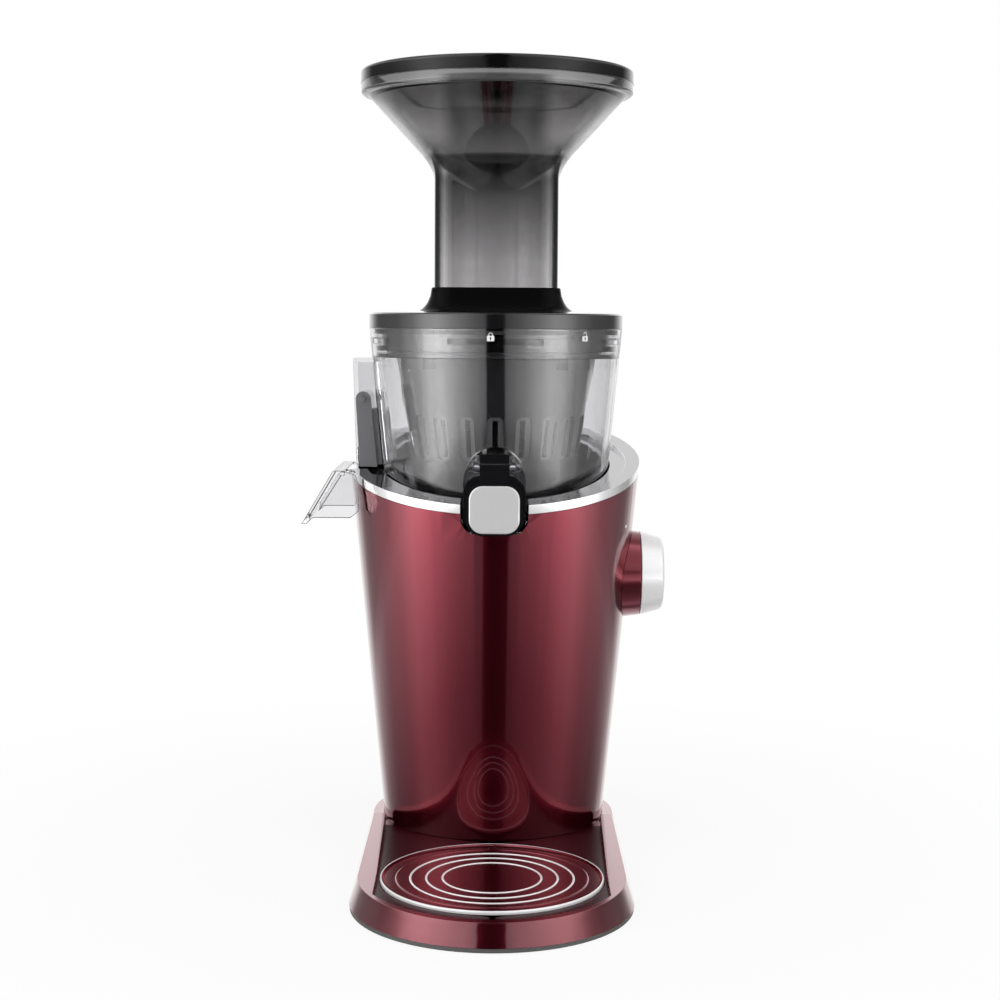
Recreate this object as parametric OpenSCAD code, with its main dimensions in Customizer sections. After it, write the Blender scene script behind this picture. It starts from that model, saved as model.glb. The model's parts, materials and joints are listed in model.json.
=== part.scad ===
// Vertical cold press juicer: slanted-ring motor body, lift-off bowl with auger, lid and hopper.
// Built about the drive axis (X right, Y back, Z up), then moved so that the origin is at the
// centre of the footprint on the floor.

/* [Base] */
// Outer radius of the base band at its foot
base_r = 77.5; // [76:0.5:84]
// Distance from the drive axis to the centre of the cup tray
tray_ahead = 138.5; // [136:0.5:160]
// How far the rounded front of the base stands ahead of the tray's own centre
front_out = 3; // [0:0.5:4]
// Height of the base floor, on which the body stands
floor_z = 14; // [13:0.5:18]
// Height of the base lip at the front
lip_z = 15; // [14.6:0.1:17]
// How far the base band leans in for each millimetre of height
band_lean = 0.33; // [0.1:0.01:0.4]
// Slope of the base wings towards the back, in degrees
wing_slope = 1.7; // [0.5:0.1:2.5]
// Distance from the drive axis forward to the rear end of the wings
wing_end = 25; // [15:0.5:34]
// Half width of the recess between the wings at the tray
recess_w = 62.6; // [62.2:0.1:66]
// Radius of the recess behind the front lip
recess_r = 71.8; // [66:0.2:73]
// Thickness of the base floor
base_floor_t = 2.8; // [2:0.1:3.5]
// Wall of the base band
base_wall = 4; // [2.5:0.1:6]
// Thickness of the grey bottom plate
plate_t = 2.4; // [2:0.1:4]
// Height of the rubber feet below the plate
foot_h = 0.5; // [0.5:0.1:3]
// Radius of a rubber foot
foot_r = 9; // [6:0.5:12]

/* [Cup tray] */
// Outer radius of the bright tray ring
tray_r = 61.25; // [50:0.25:62]
// Width of the bright tray ring
tray_ring_w = 3; // [2.5:0.1:4]
// Thickness of the tray disc
tray_t = 2.2; // [1.5:0.1:3]
// Depth of the tray socket in the base floor
tray_socket = 1.6; // [1:0.1:2]

/* [Body] */
// Outer radius of the body where it stands on the base
body_foot_r = 67.1; // [66:0.1:70]
// Outward lean of the body wall, in degrees
body_lean = 5.4; // [5:0.1:6.5]
// Wall of the body shell
body_wall = 2.6; // [2:0.1:3.4]
// Height of the top of the silver ring over the drive axis
ring_z = 233.1; // [232:0.1:240]
// Slant of the silver ring, in degrees
ring_tilt = 13.5; // [10:0.5:14]
// Height of the silver ring
ring_band = 5.4; // [4:0.1:8]
// Inner radius of the silver ring
ring_in_r = 79; // [77:0.1:80]
// Drop from the silver ring to the bowl seat
seat_drop = 2.5; // [1.5:0.1:4]

/* [Dial] */
// Height of the dial axis
dial_z = 163.5; // [150:0.5:175]
// Radius of the dial boss next to the body
dial_boss_r = 27.2; // [25.8:0.1:28]
// Distance from the drive axis to the end of the dial boss
dial_boss_x = 88; // [86:0.5:94]
// Depth of the silver dial knob
dial_knob_t = 14; // [10:0.5:20]
// Radius of the dial knob at its rim
dial_knob_r = 25.6; // [23:0.1:26]
// Radius of the dial knob at its face
dial_face_r = 21.8; // [18:0.1:22]
// Radius of the dial shaft
dial_shaft_r = 3; // [2.5:0.1:4]

/* [Bowl] */
// Height of the floor of the bowl seat
seat_floor_z = 202; // [200:0.5:204]
// Height of the juicing bowl
bowl_h = 110; // [108:0.5:120]
// Outer radius of the bowl at its foot
bowl_foot_r = 66.3; // [65.5:0.1:67]
// Outward lean of the bowl wall, in degrees
bowl_lean = 5.2; // [5:0.1:5.5]
// Wall of the bowl
bowl_wall = 4; // [3:0.1:4.5]
// Thickness of the bowl floor
bowl_floor_t = 4; // [3:0.1:4.5]
// Wall of the wider collar that takes the lid
collar_wall = 2.4; // [1.8:0.1:2.8]
// Depth of that collar
collar_h = 17; // [16.5:0.1:19]
// Inner radius of the tube in the middle of the bowl
bowl_tube_r = 16; // [15.6:0.1:17]
// Wall of that tube
bowl_tube_wall = 3; // [2:0.1:3.5]
// Height of that tube above the foot of the bowl
bowl_tube_h = 12; // [11.5:0.1:13]

/* [Strainers and auger] */
// Outer radius of the strainer under its flange
strainer_r = 60.4; // [58:0.1:61]
// Taper of the strainer wall, in degrees
strainer_taper = 9.3; // [8:0.1:10]
// Wall of the outer strainer
outer_wall = 2; // [1.5:0.1:2.5]
// Wall of the inner strainer
inner_wall = 1.8; // [1.4:0.1:2.2]
// Gap between the two strainers
nest_gap = 0.8; // [0.4:0.1:1.2]
// Number of strainer windows
window_n = 20; // [12:2:24]
// Width of a window in the outer strainer
window_w = 9.7; // [5:0.1:11]
// Height of a window in the outer strainer
window_h = 26; // [16:1:34]
// Width of a slot in the inner strainer
slot_w = 3.2; // [1.5:0.1:5]
// Gap between the auger flights and the inner strainer
flight_gap = 0.9; // [0.5:0.1:1.5]
// Number of auger flights
flight_n = 3; // [2:1:4]
// Turns of each flight
flight_turns = 1.25; // [0.8:0.05:2]
// Thickness of a flight at its root
flight_root_t = 5; // [3:0.1:7]
// Thickness of a flight at its tip
flight_tip_t = 2.6; // [1.5:0.1:4]
// Width across the flats of the drive hexagon
hex_af = 10.4; // [9:0.1:10.4]

/* [Lid and hopper] */
// Thickness of the lid ring
lid_ring_t = 8.8; // [7:0.1:11]
// Height of the lid collar above the lid ring
lid_collar_h = 15.2; // [12:0.1:20]
// Half width of the feed chute
chute_w = 36.6; // [33:0.1:37]
// Distance from the drive axis to the flat front of the chute
chute_front = 28; // [24:0.5:30]
// Radius of the chute's front corners
chute_corner = 10; // [6:0.5:12]
// Wall of the chute and hopper
chute_wall = 3.2; // [2.4:0.1:3.6]
// Height of the straight part of the chute above its seat
chute_h = 73.5; // [60:0.5:90]
// Height of the hopper funnel
funnel_h = 53.4; // [48:0.2:60]
// Radius of the hopper at its lip
hopper_r = 81; // [76:0.5:84]
// Slope of the funnel from upright, in degrees
funnel_lean = 43; // [40:0.2:44]
// Height of the black hopper rim
rim_h = 8.2; // [6:0.2:12]
// Width of the black hopper rim
rim_w = 4.5; // [3.5:0.1:6]

/* [Juice spout] */
// Half width of the juice spout
spout_w = 17.3; // [15:0.1:18]
// Height of the top of the spout above the foot of the bowl
spout_top = 43; // [40:0.5:46]
// Distance from the drive axis to the mouth of the spout
spout_reach = 106; // [102:0.5:112]
// Wall of the spout
spout_wall = 2.4; // [1.8:0.1:3]
// Thickness of the cap block
cap_t = 6; // [5:0.1:9]
// Half width of the cap block
cap_w = 15.3; // [13:0.1:15.5]

/* [Pulp outlet] */
// Half width of the pulp outlet frame
outlet_w = 20; // [17:0.5:21]
// Distance from the drive axis to the outer edge of the frame
outlet_x = 84.8; // [83:0.1:87]
// Height of the frame above the foot of the bowl
outlet_top = 92; // [88:0.5:94]
// Wall of the frame
outlet_wall = 2.2; // [1.6:0.1:2.6]
// Half width of the pulp guide
guide_w = 37; // [35.5:0.5:42]
// Distance from the drive axis to the tip of the pulp guide
guide_x = 114.2; // [110:0.2:120]

/* [Gears] */
// Teeth of the drive gear
drive_n = 44; // [44:1:44]
// Teeth of the small cluster gear
small_n = 12; // [12:1:12]
// Teeth of the large cluster gear
large_n = 50; // [50:1:50]
// Teeth of the motor pinion
pinion_n = 13; // [13:1:13]
// Module of the drive gear pair
drive_m = 1.5; // [1.4:0.05:1.5]
// Module of the motor gear pair
motor_m = 1; // [0.9:0.05:1]
// Backlash of each gear pair
backlash = 0.25; // [0.15:0.05:0.4]

/* [Motor] */
// Radius of the stator
stator_r = 36; // [33:0.5:37]
// Height of the stator
stator_h = 60; // [50:1:64]
// Radius of the rotor
rotor_r = 20; // [16:0.5:22]
// Radius of the motor shaft
motor_shaft_r = 4; // [3:0.1:4.5]

/* [Hidden] */
$fn = 96;

wine = "#6e1f33";
silver = "#d4d6d9";
steel = "#9aa0a6";
smoke = [0.36, 0.35, 0.37, 0.6];
clear = [0.9, 0.9, 0.92, 0.5];
black = "#141416";

eps = 0.01;                 // overshoot of a cut past a face
fit = 0.3;                  // gap between pieces that lift or turn past each other
run = 0.04;                 // radial clearance of a running shaft
far = 400;                  // larger than the juicer

// base
plate_z = foot_h;
base_z = foot_h + plate_t;
tray_y = -tray_ahead;
tray_z = floor_z - tray_socket;
tray_bead_w = 1.5;
tray_bead_h = 1.3;
foot_sink = 1.6;
foot_x = 48;
foot_front_y = tray_y - 22;
foot_back_y = 40;
plate_inset = 0.4;
nose_y = tray_y - front_out;
wing_round = 5;
fan_open_r = 34;
screw_r = 2;
screw_head_r = 3.8;

// body cone, ring plane
body_k = tan(body_lean);
ring_k = tan(ring_tilt);
ring_back_y = (body_foot_r + body_k * (ring_z - floor_z)) / (1 - body_k * ring_k);
seat_top_z = ring_z - seat_drop;
seat_rim_t = 3;
seat_gap = 0.8;
seat_wall = 2.2;
seat_floor_t = 3;
seat_collar_r = bowl_tube_r - 1;
seat_land_r = bowl_foot_r + seat_gap + 0.2;
seat_collar_h = bowl_tube_h - 2;
function body_r(z) = body_foot_r + body_k * (z - floor_z);

// bowl and what hangs in it
bowl_k = tan(bowl_lean);
bowl_top = seat_floor_z + bowl_h;
shelf_z = bowl_top - collar_h;
function bowl_r(z) = bowl_foot_r + bowl_k * (z - seat_floor_z);
tube_top = seat_floor_z + bowl_tube_h;
strainer_k = tan(strainer_taper);
strainer_foot = seat_floor_z + bowl_floor_t + 1;
strainer_floor_t = 2;
flange_t = 2;
function strainer_or(z) = strainer_r - strainer_k * (shelf_z - z);
function inner_or(z) = strainer_or(z) - outer_wall - nest_gap;
function inner_ir(z) = inner_or(z) - inner_wall;
strainer_top = shelf_z + flange_t;
tab_h = 6.5;
inner_rim_t = 1.2;
window_z = strainer_foot + 28;
port_w = 11;
port_z = seat_floor_z + 27;
port_h = 21;

// lid bayonet
lug_n = 4;
lug_span = 43;
lug_t = 3;
lid_skirt_foot = shelf_z + flange_t + 1.6;
lid_skirt_r = bowl_r(shelf_z) - collar_wall - 3;
lid_lug_r = bowl_r(shelf_z) - collar_wall - 0.6;
bowl_lug_r = lid_skirt_r + 0.8;
bowl_lug_z = lid_skirt_foot + lug_t + 1.5;

// auger
auger_foot = strainer_foot + strainer_floor_t + 1;
auger_skirt_h = 6;
auger_top = shelf_z + 1;
auger_hub_r = 12;
auger_hub_z = seat_floor_z + seat_collar_h + 1;
auger_cavity_r = bowl_tube_r + bowl_tube_wall + 1.5;
auger_cavity_top = tube_top + 4;
flight_z0 = auger_foot + 2;
flight_z1 = auger_top - 5;
flight_wide_z = auger_foot + 54;
flight_top_r = 33;
flight_steps = 26;
pin_r = 4;
socket_r = 10.5;
socket_top = seat_floor_z + 34;
hex_top = seat_floor_z + 30;
hex_gap = 0.6;

// lid and hopper
lid_z = bowl_top;
lid_ring_z = lid_z + lid_ring_t;
lid_r = bowl_r(bowl_top) + 0.1;
chute_foot = lid_ring_z + 1.7;
collar_top = lid_ring_z + lid_collar_h;
bridge_w = 6;
bridge_t = 7;
lid_mouth_r = 58;
lid_boss_r = 9;
lid_boss_z = auger_top + 7.5;
bearing_r = 6.5;
bearing_h = 9;
chute_top = chute_foot + chute_h;
lip_h = 6.4;
rim_z = chute_top + funnel_h + lip_h;
funnel_k = tan(funnel_lean);
funnel_top = rim_z - lip_h;
funnel_rim_r = hopper_r - 4.1;
funnel_foot_r = funnel_rim_r - funnel_k * funnel_h;
chute_reach = norm([chute_w - chute_corner, chute_front - chute_corner]) + chute_corner;
neck_z = chute_top + (chute_reach - funnel_foot_r) / funnel_k + 0.5;

// juice spout and cap
spout_z = seat_floor_z - 3;
spout_corner = 6;
spout_arch_z = seat_floor_z + spout_top - spout_w;
spout_mouth_top = seat_floor_z + 31.5;
spout_inner_top = seat_floor_z + 28.5;
spout_floor_z = seat_floor_z + 1.4;
hinge_y = -(spout_reach - 1.8);
hinge_z = seat_floor_z + 33.4;
barrel_r = 3.4;
barrel_w = 8.2;
cap_pin_r = 1.5;
ear_t = 3;
ear_x = barrel_w + 0.6;
cap_flange_t = 2.5;
cap_gap = 0.4;
cap_back_y = -(spout_reach + cap_gap);
cap_front_y = cap_back_y - cap_t;
cap_z = spout_z - 0.4;
cap_h = 29;
cap_corner = 9;
cap_plate_in = 1.3;
notch_gap = 2;

// pulp outlet, gate and guide
outlet_z = seat_floor_z + 23;
outlet_floor_t = 2.5;
outlet_foot_x = outlet_x - 2.2;
gate_x = 79;
gate_z = seat_floor_z + 67.5;
gate_barrel_r = 4.6;
gate_w = outlet_w - outlet_wall - 1;
gate_foot = outlet_z + outlet_floor_t + 1.3;
gate_pin_r = 1.6;
seal_lift = 1.5;            // lets the seal's foot swing clear of the outlet floor
guide_neck_x = 89;
guide_wall = 2.2;
guide_slope_x = 95.5;
guide_front_x = 80.2;
guide_back_x = 82.2;

// gear train, downward from the bowl seat
gear_pa = 25;
cluster_y = drive_m * (drive_n + small_n) / 2;
motor_y = cluster_y - motor_m * (large_n + pinion_n) / 2;
boss_h = 10;
cover_t = 4;
gear_room = 41;
gearbox_floor_t = 4;
cover_z = seat_floor_z - seat_floor_t - boss_h - cover_t;
gearbox_z = cover_z - gear_room - gearbox_floor_t;
drive_gear_t = 16;
drive_gear_z = cover_z - 3 - drive_gear_t;
mid_t = 4;
mid_z = drive_gear_z - 3 - mid_t;
large_t = 10;
large_z = gearbox_z + gearbox_floor_t + 2;
small_t = drive_gear_z + drive_gear_t + 1 - large_z - large_t;
gearbox_wall = 2.5;
drive_room_r = drive_m * (drive_n / 2 + 0.9) + 2;
cluster_room_r = motor_m * (large_n / 2 + 0.9) + 2;
journal_r = 5;
shaft_r = 6;
gear_seat_r = 8;
cluster_pin_r = 4;
bush_r = 8.5;

// motor, hung from the gearbox
bell_h = 10;
stator_z = gearbox_z - bell_h - 4 - stator_h;
lower_bell_z = stator_z - bell_h - 4;
ball_r = 11;
ball_t = 7;
bolt_r = 1.8;
bolt_ring = stator_r - 3.4;
fan_z = lower_bell_z - 14;
fan_h = 10;
fan_r = 30;
winding_r = (bolt_ring - bolt_r + rotor_r) / 2;
winding_tube = min(3.8, (bolt_ring - bolt_r - rotor_r) / 2 - 1.6);

// chassis
column_r = 5;
column_x = 36;
column_y = 44;
chassis_t = 4;
chassis_r = 61.5;

// board, switch, gland
board_y = column_y + 8;
board_t = 1.6;
board_w = 40;
board_z = 62;
board_h = 58;
switch_x = 64;
switch_t = 18;
switch_w = 28;
spigot_r = 14;
gland_z = 34;
gland_y = body_r(gland_z + 9.5) + 0.6;
gland_r = 5;
gland_bore = 3.5;
gland_flange_t = 2.4;

// place of the frame's origin
left_x = -guide_x;
right_x = dial_boss_x + cap_gap + dial_knob_t;
front_y = nose_y - base_r;
mid_x = (left_x + right_x) / 2;
mid_y = (front_y + ring_back_y) / 2;

// ---- helpers ----
module placed() translate([-mid_x, -mid_y, 0]) children();
module at_tray() translate([0, tray_y, 0]) children();
module along_x() rotate([0, 90, 0]) children();
module along_y() rotate([-90, 0, 0]) children();
module facing_x(x0, x1) translate([x0, 0, 0]) rotate([90, 0, 90]) linear_extrude(x1 - x0) children();
module facing_y(y0, y1) translate([0, y1, 0]) rotate([90, 0, 0]) linear_extrude(y1 - y0) children();
module ring(z, h, r_out, r_in) {
    translate([0, 0, z]) difference() {
        cylinder(h = h, r = r_out);
        translate([0, 0, -1]) cylinder(h = h + 2, r = r_in);
    }
}
module below_slant(z) {
    translate([0, 0, z]) rotate([ring_tilt, 0, 0]) translate([-far / 2, -far / 2, -far]) cube(far);
}
module body_cone(inset, z0, z1) {
    translate([0, 0, z0]) cylinder(h = z1 - z0, r1 = body_r(z0) - inset, r2 = body_r(z1) - inset);
}
module bowl_cone(grow, z0, z1) {
    translate([0, 0, z0]) cylinder(h = z1 - z0, r1 = bowl_r(z0) + grow, r2 = bowl_r(z1) + grow);
}
module at_feet() {
    for (x = [-foot_x, foot_x], y = [foot_front_y, foot_back_y]) translate([x, y, 0]) children();
}
module at_columns() {
    for (x = [-column_x, column_x], y = [-column_y, column_y]) translate([x, y, 0]) children();
}
module round_square(w, h, r) {
    for (x = [-w + r, w - r], y = [r, h - r]) translate([x, y]) circle(r);
    translate([-w + r, 0]) square([2 * (w - r), h]);
    translate([-w, r]) square([2 * w, h - 2 * r]);
}

// ---- base ----
module stadium(r) {
    circle(r);
    translate([0, nose_y]) circle(r);
    translate([-r, nose_y]) square([2 * r, -nose_y]);
}
module banded_block(z0, z1, inset) {
    r0 = base_r - inset;
    r1 = r0 - band_lean * (z1 - z0);
    translate([0, 0, z0]) cylinder(h = z1 - z0, r1 = r0, r2 = r1);
    translate([0, nose_y, z0]) cylinder(h = z1 - z0, r1 = r0, r2 = r1);
    facing_y(nose_y, 0) polygon([[-r0, z0], [r0, z0], [r1, z1], [-r1, z1]]);
}
function wing_z(y) = lip_z + tan(wing_slope) * (y - front_y);
module below_wings() {
    end_y = -wing_end - wing_round;
    facing_x(-far / 2, far / 2) {
        polygon([[front_y - 5, 0], [end_y, 0], [end_y, wing_z(end_y)], [front_y - 5, wing_z(front_y - 5)]]);
        translate([end_y, wing_z(end_y) - wing_round]) circle(wing_round);
        translate([end_y, 0]) square([wing_round, wing_z(end_y) - wing_round]);
        translate([end_y, 0]) square([far / 2, floor_z + 1]);
    }
}
module recess_plan() {
    intersection() {
        translate([0, tray_y]) circle(recess_r);
        translate([-recess_w, tray_y - recess_r]) square([2 * recess_w, 2 * recess_r]);
    }
    polygon([[-recess_w, tray_y], [recess_w, tray_y], [recess_w + 2.4, -20], [-recess_w - 2.4, -20]]);
}
module base_housing() color(wine) placed() difference() {
    intersection() {
        banded_block(base_z, floor_z + 16, 0);
        below_wings();
    }
    translate([0, 0, floor_z]) linear_extrude(far) recess_plan();
    body_cone(-fit, floor_z, floor_z + 20);
    at_tray() translate([0, 0, tray_z]) cylinder(h = far, r = tray_r + fit);
    difference() {
        translate([0, 0, base_z - 1]) linear_extrude(tray_z - base_floor_t - base_z + 1)
            stadium(base_r - base_wall - band_lean * (tray_z - base_z));
        at_feet() cylinder(h = far, r = foot_r);
    }
    at_feet() translate([0, 0, base_z - 1]) cylinder(h = 7, r = screw_r);
    translate([0, motor_y, 0]) cylinder(h = far, r = fan_open_r);
    at_columns() cylinder(h = far, r = screw_r);
}
module bottom_plate() color("#8d8d90") placed() difference() {
    translate([0, 0, plate_z]) linear_extrude(plate_t) stadium(base_r - plate_inset);
    at_feet() translate([0, 0, plate_z - 1]) cylinder(h = foot_sink + 1, r = foot_r);
    at_feet() cylinder(h = far, r = screw_r);
    for (i = [-3:3]) translate([i * 8 - 1.5, motor_y - 24, 0]) cube([3, 48, far]);
}
module rubber_feet() color(black) placed() at_feet() difference() {
    cylinder(h = plate_z + foot_sink, r = foot_r);
    translate([0, 0, -1]) cylinder(h = plate_z + foot_sink - 0.8 + 1, r = screw_head_r + 0.6);
    cylinder(h = far, r = screw_r);
}
module plate_screws() color(steel) placed() at_feet() {
    translate([0, 0, plate_z + foot_sink - 0.8 - 1]) cylinder(h = 1, r = screw_head_r);
    translate([0, 0, plate_z + foot_sink - 0.8]) cylinder(h = 6, r = screw_r);
}
module cup_tray() color(wine) placed() at_tray() {
    translate([0, 0, tray_z]) cylinder(h = tray_t, r = tray_r - tray_ring_w);
    for (r = [26.9, 35.8, 44.5, 52]) translate([0, 0, tray_z + tray_t]) rotate_extrude()
        translate([r, 0]) intersection() {
            circle(0.8, $fn = 24);
            translate([-1, 0]) square([2, 1]);
        }
}
module tray_ring() color("#e8eaec") placed() at_tray() {
    ring(tray_z, tray_t, tray_r, tray_r - tray_ring_w);
    translate([0, 0, tray_z + tray_t]) rotate_extrude()
        translate([tray_r - tray_ring_w + tray_bead_w / 2 + 0.2, 0]) {
            translate([0, tray_bead_h - tray_bead_w / 2]) circle(tray_bead_w / 2, $fn = 32);
            translate([-tray_bead_w / 2, 0]) square([tray_bead_w, tray_bead_h - tray_bead_w / 2]);
        }
}

// ---- body ----
module spout_notch(gap) {
    w = spout_w + gap;
    r = spout_corner + gap;
    facing_y(-far / 2, -60) {
        translate([-w, spout_z - gap + r]) square([2 * w, far]);
        translate([-w + r, spout_z - gap]) square([2 * (w - r), 2 * r]);
        for (x = [-w + r, w - r]) translate([x, spout_z - gap + r]) circle(r);
    }
}
module outlet_notch(gap) {
    w = outlet_w + gap;
    translate([-far, -w, outlet_z - gap]) cube([far - 60, 2 * w, far]);
}
module body_shell() color(wine) placed() difference() {
    union() {
        difference() {
            intersection() {
                body_cone(0, floor_z, ring_z + 30);
                below_slant(ring_z - ring_band);
            }
            body_cone(body_wall, floor_z - eps, ring_z + 31);
        }
        difference() {
            translate([0, 0, gland_z]) along_y() cylinder(h = gland_y, r = 9.5);
            body_cone(body_wall, floor_z, ring_z);
        }
    }
    translate([0, 0, gland_z]) along_y() cylinder(h = far, r = gland_r);
    translate([0, 0, dial_z]) along_x() cylinder(h = far, r = spigot_r + fit / 2);
    spout_notch(notch_gap);
    outlet_notch(1);
}
module top_ring() color(silver) placed() difference() {
    intersection() {
        body_cone(0, ring_z - 60, ring_z + 60);
        below_slant(ring_z);
    }
    below_slant(ring_z - ring_band);
    cylinder(h = far, r = ring_in_r);
    spout_notch(notch_gap);
    outlet_notch(1);
}
module bowl_seat() color("#2b2b2e") placed() difference() {
    intersection() {
        translate([0, 0, seat_floor_z - seat_floor_t]) cylinder(h = far, r = ring_in_r);
        below_slant(seat_top_z);
    }
    difference() {
        bowl_cone(seat_gap, seat_floor_z, ring_z + 60);
        ring(seat_floor_z - 1, seat_collar_h + 1, seat_collar_r, shaft_r + 1);
    }
    intersection() {
        difference() {
            translate([0, 0, seat_floor_z - far / 2]) cylinder(h = far, r = far);
            bowl_cone(seat_gap + seat_wall, seat_floor_z - seat_floor_t - 1, ring_z + 60);
        }
        below_slant(seat_top_z - seat_rim_t);
    }
    difference() {
        union() {
            spout_notch(notch_gap);
            outlet_notch(1);
        }
        cylinder(h = seat_floor_z, r = seat_land_r);
    }
    cylinder(h = far, r = shaft_r + 1);
    at_seat_posts() {
        cylinder(h = far, r = screw_r);
        translate([0, 0, seat_floor_z - 1.6]) cylinder(h = 5, r = screw_head_r + 0.2);
    }
}
module at_seat_posts() {
    for (p = [[-26, -16], [26, -16], [0, cluster_y + 16]]) translate([p[0], p[1], 0]) children();
}
module seat_screws() color(steel) placed() at_seat_posts() {
    translate([0, 0, seat_floor_z - 1.6]) cylinder(h = 1.4, r = screw_head_r);
    translate([0, 0, seat_floor_z - 9]) cylinder(h = 8, r = screw_r);
}
module cord_gland() color(black) placed() translate([0, 0, gland_z]) along_y() difference() {
    union() {
        translate([0, 0, gland_y - 6.5]) cylinder(h = 6.5 + gland_flange_t, r = gland_r);
        translate([0, 0, gland_y]) cylinder(h = gland_flange_t, r = gland_r + 3);
    }
    cylinder(h = far, r = gland_bore);
}
module chassis() color("#3a3a3e") placed() {
    difference() {
        translate([0, 0, floor_z]) cylinder(h = chassis_t, r = chassis_r);
        translate([0, motor_y, 0]) cylinder(h = far, r = fan_open_r + 3);
        at_columns() cylinder(h = far, r = screw_r);
    }
    difference() {
        union() {
            at_columns() translate([0, 0, floor_z + chassis_t])
                cylinder(h = gearbox_z - floor_z - chassis_t, r = column_r);
            for (x = [-column_x, column_x], z = [board_z + 6, board_z + board_h - 6])
                translate([x, column_y, z]) along_y() cylinder(h = board_y - column_y, r = 3);
        }
        at_columns() translate([0, 0, floor_z]) cylinder(h = chassis_t + 10, r = screw_r);
        at_columns() translate([0, 0, gearbox_z - 10]) cylinder(h = 20, r = screw_r);
    }
}

// ---- gear train ----
function inv(p) = tan(p) * 180 / PI - p;
function base_of(n, m) = m * n / 2 * cos(gear_pa);
function half_tooth(n, m, r) =
    90 / n - backlash / 2 / (m * n / 2) * 180 / PI + inv(gear_pa)
    - (r <= base_of(n, m) ? 0 : inv(acos(base_of(n, m) / r)));
function tooth_radii(n, m) = [m * (n / 2 - 1.15), max(m * (n / 2 - 0.75), base_of(n, m)),
                              m * (n / 2 - 0.1), m * (n / 2 + 0.5), m * (n / 2 + 0.9)];
function polar(r, a) = [r * cos(a), r * sin(a)];
module gear_plan(n, m) {
    rs = tooth_radii(n, m);
    polygon([for (i = [0:n - 1]) each concat(
        [for (k = [0:4]) polar(rs[k], 360 * i / n - half_tooth(n, m, rs[k]))],
        [for (k = [4:-1:0]) polar(rs[k], 360 * i / n + half_tooth(n, m, rs[k]))])]);
}
module gearbox_plan(grow) {
    circle(drive_room_r + grow);
    translate([0, cluster_y]) circle(cluster_room_r + grow);
    w = cluster_room_r - 3 + grow;
    translate([-w, 0]) square([2 * w, cluster_y]);
}
module at_cover_screws() {
    for (a = [200, 270, 340, 90]) rotate(a) translate([drive_room_r - 1, 0, 0]) children();
    for (s = [-1, 1]) translate([s * (cluster_room_r - 4), cluster_y + 14, 0]) children();
}
module gearbox_housing() color("#b9bcc0") placed() {
    difference() {
        translate([0, 0, gearbox_z]) linear_extrude(gearbox_floor_t) {
            translate([-column_x - column_r, -column_y - column_r])
                square([2 * (column_x + column_r), 2 * (column_y + column_r)]);
            gearbox_plan(gearbox_wall);
        }
        translate([0, motor_y, 0]) cylinder(h = far, r = motor_shaft_r + 3);
        at_columns() cylinder(h = far, r = screw_r);
        translate([0, cluster_y, 0]) cylinder(h = far, r = cluster_pin_r);
    }
    difference() {
        translate([0, 0, gearbox_z + gearbox_floor_t]) linear_extrude(gear_room)
            gearbox_plan(gearbox_wall);
        translate([0, 0, gearbox_z + gearbox_floor_t]) linear_extrude(mid_z - gearbox_z - gearbox_floor_t)
            gearbox_plan(-1.5);
        translate([0, 0, mid_z]) linear_extrude(far) gearbox_plan(0);
    }
}
module gearbox_midplate() color("#8f949a") placed() difference() {
    union() {
        translate([0, 0, mid_z]) linear_extrude(mid_t) gearbox_plan(-fit / 3);
    }
    translate([0, 0, mid_z - 1]) cylinder(h = mid_t + 2, r = bush_r);
    translate([0, cluster_y, 0]) cylinder(h = far, r = small_n * drive_m / 2 + 3);
}
module gearbox_cover() color("#b9bcc0") placed() difference() {
    union() {
        translate([0, 0, cover_z]) linear_extrude(cover_t) gearbox_plan(gearbox_wall);
        translate([0, 0, cover_z + cover_t]) cylinder(h = boss_h, r = 18);
        at_seat_posts() translate([0, 0, cover_z + cover_t]) cylinder(h = boss_h, r = 5);
    }
    translate([0, 0, cover_z - 1]) cylinder(h = 7, r = shaft_r + 2);
    translate([0, 0, cover_z + 2]) cylinder(h = far, r = 14);
    translate([0, cluster_y, cover_z - 1]) cylinder(h = 3, r = cluster_pin_r);
    at_seat_posts() translate([0, 0, seat_floor_z - 9]) cylinder(h = far, r = screw_r);
}
module gearbox_screws() color(steel) placed() {
    at_columns() translate([0, 0, gearbox_z + gearbox_floor_t]) cylinder(h = 2.4, r = screw_head_r);
    at_columns() translate([0, 0, gearbox_z - 8]) cylinder(h = gearbox_floor_t + 8, r = screw_r);
}
module drive_bearings() color(steel) placed() {
    ring(mid_z, mid_t + 2.4, bush_r, journal_r + run);
    ring(cover_z + 2, 9, 14, shaft_r + run);
}
module shaft_seal() color("#222226") placed() {
    ring(cover_z + 11, seat_floor_z - seat_floor_t - cover_z - 11, 14, shaft_r + run);
}
module cluster_pin() color(steel) placed() translate([0, cluster_y, gearbox_z])
    cylinder(h = cover_z + 2 - gearbox_z, r = cluster_pin_r);
module cluster_gear() color("#c9a24a") placed() translate([0, cluster_y, 0]) difference() {
    union() {
        translate([0, 0, large_z]) linear_extrude(large_t) gear_plan(large_n, motor_m);
        translate([0, 0, large_z + large_t]) linear_extrude(small_t)
            rotate(180 / small_n) gear_plan(small_n, drive_m);
    }
    translate([0, 0, large_z - 1]) cylinder(h = far, r = cluster_pin_r + run);
}
module drive_gear() color("#c9a24a") placed() difference() {
    translate([0, 0, drive_gear_z]) linear_extrude(drive_gear_t) gear_plan(drive_n, drive_m);
    cylinder(h = far, r = gear_seat_r);
    for (a = [0:60:300]) rotate(a) translate([20, 0, 0]) cylinder(h = far, r = 6);
}
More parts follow.
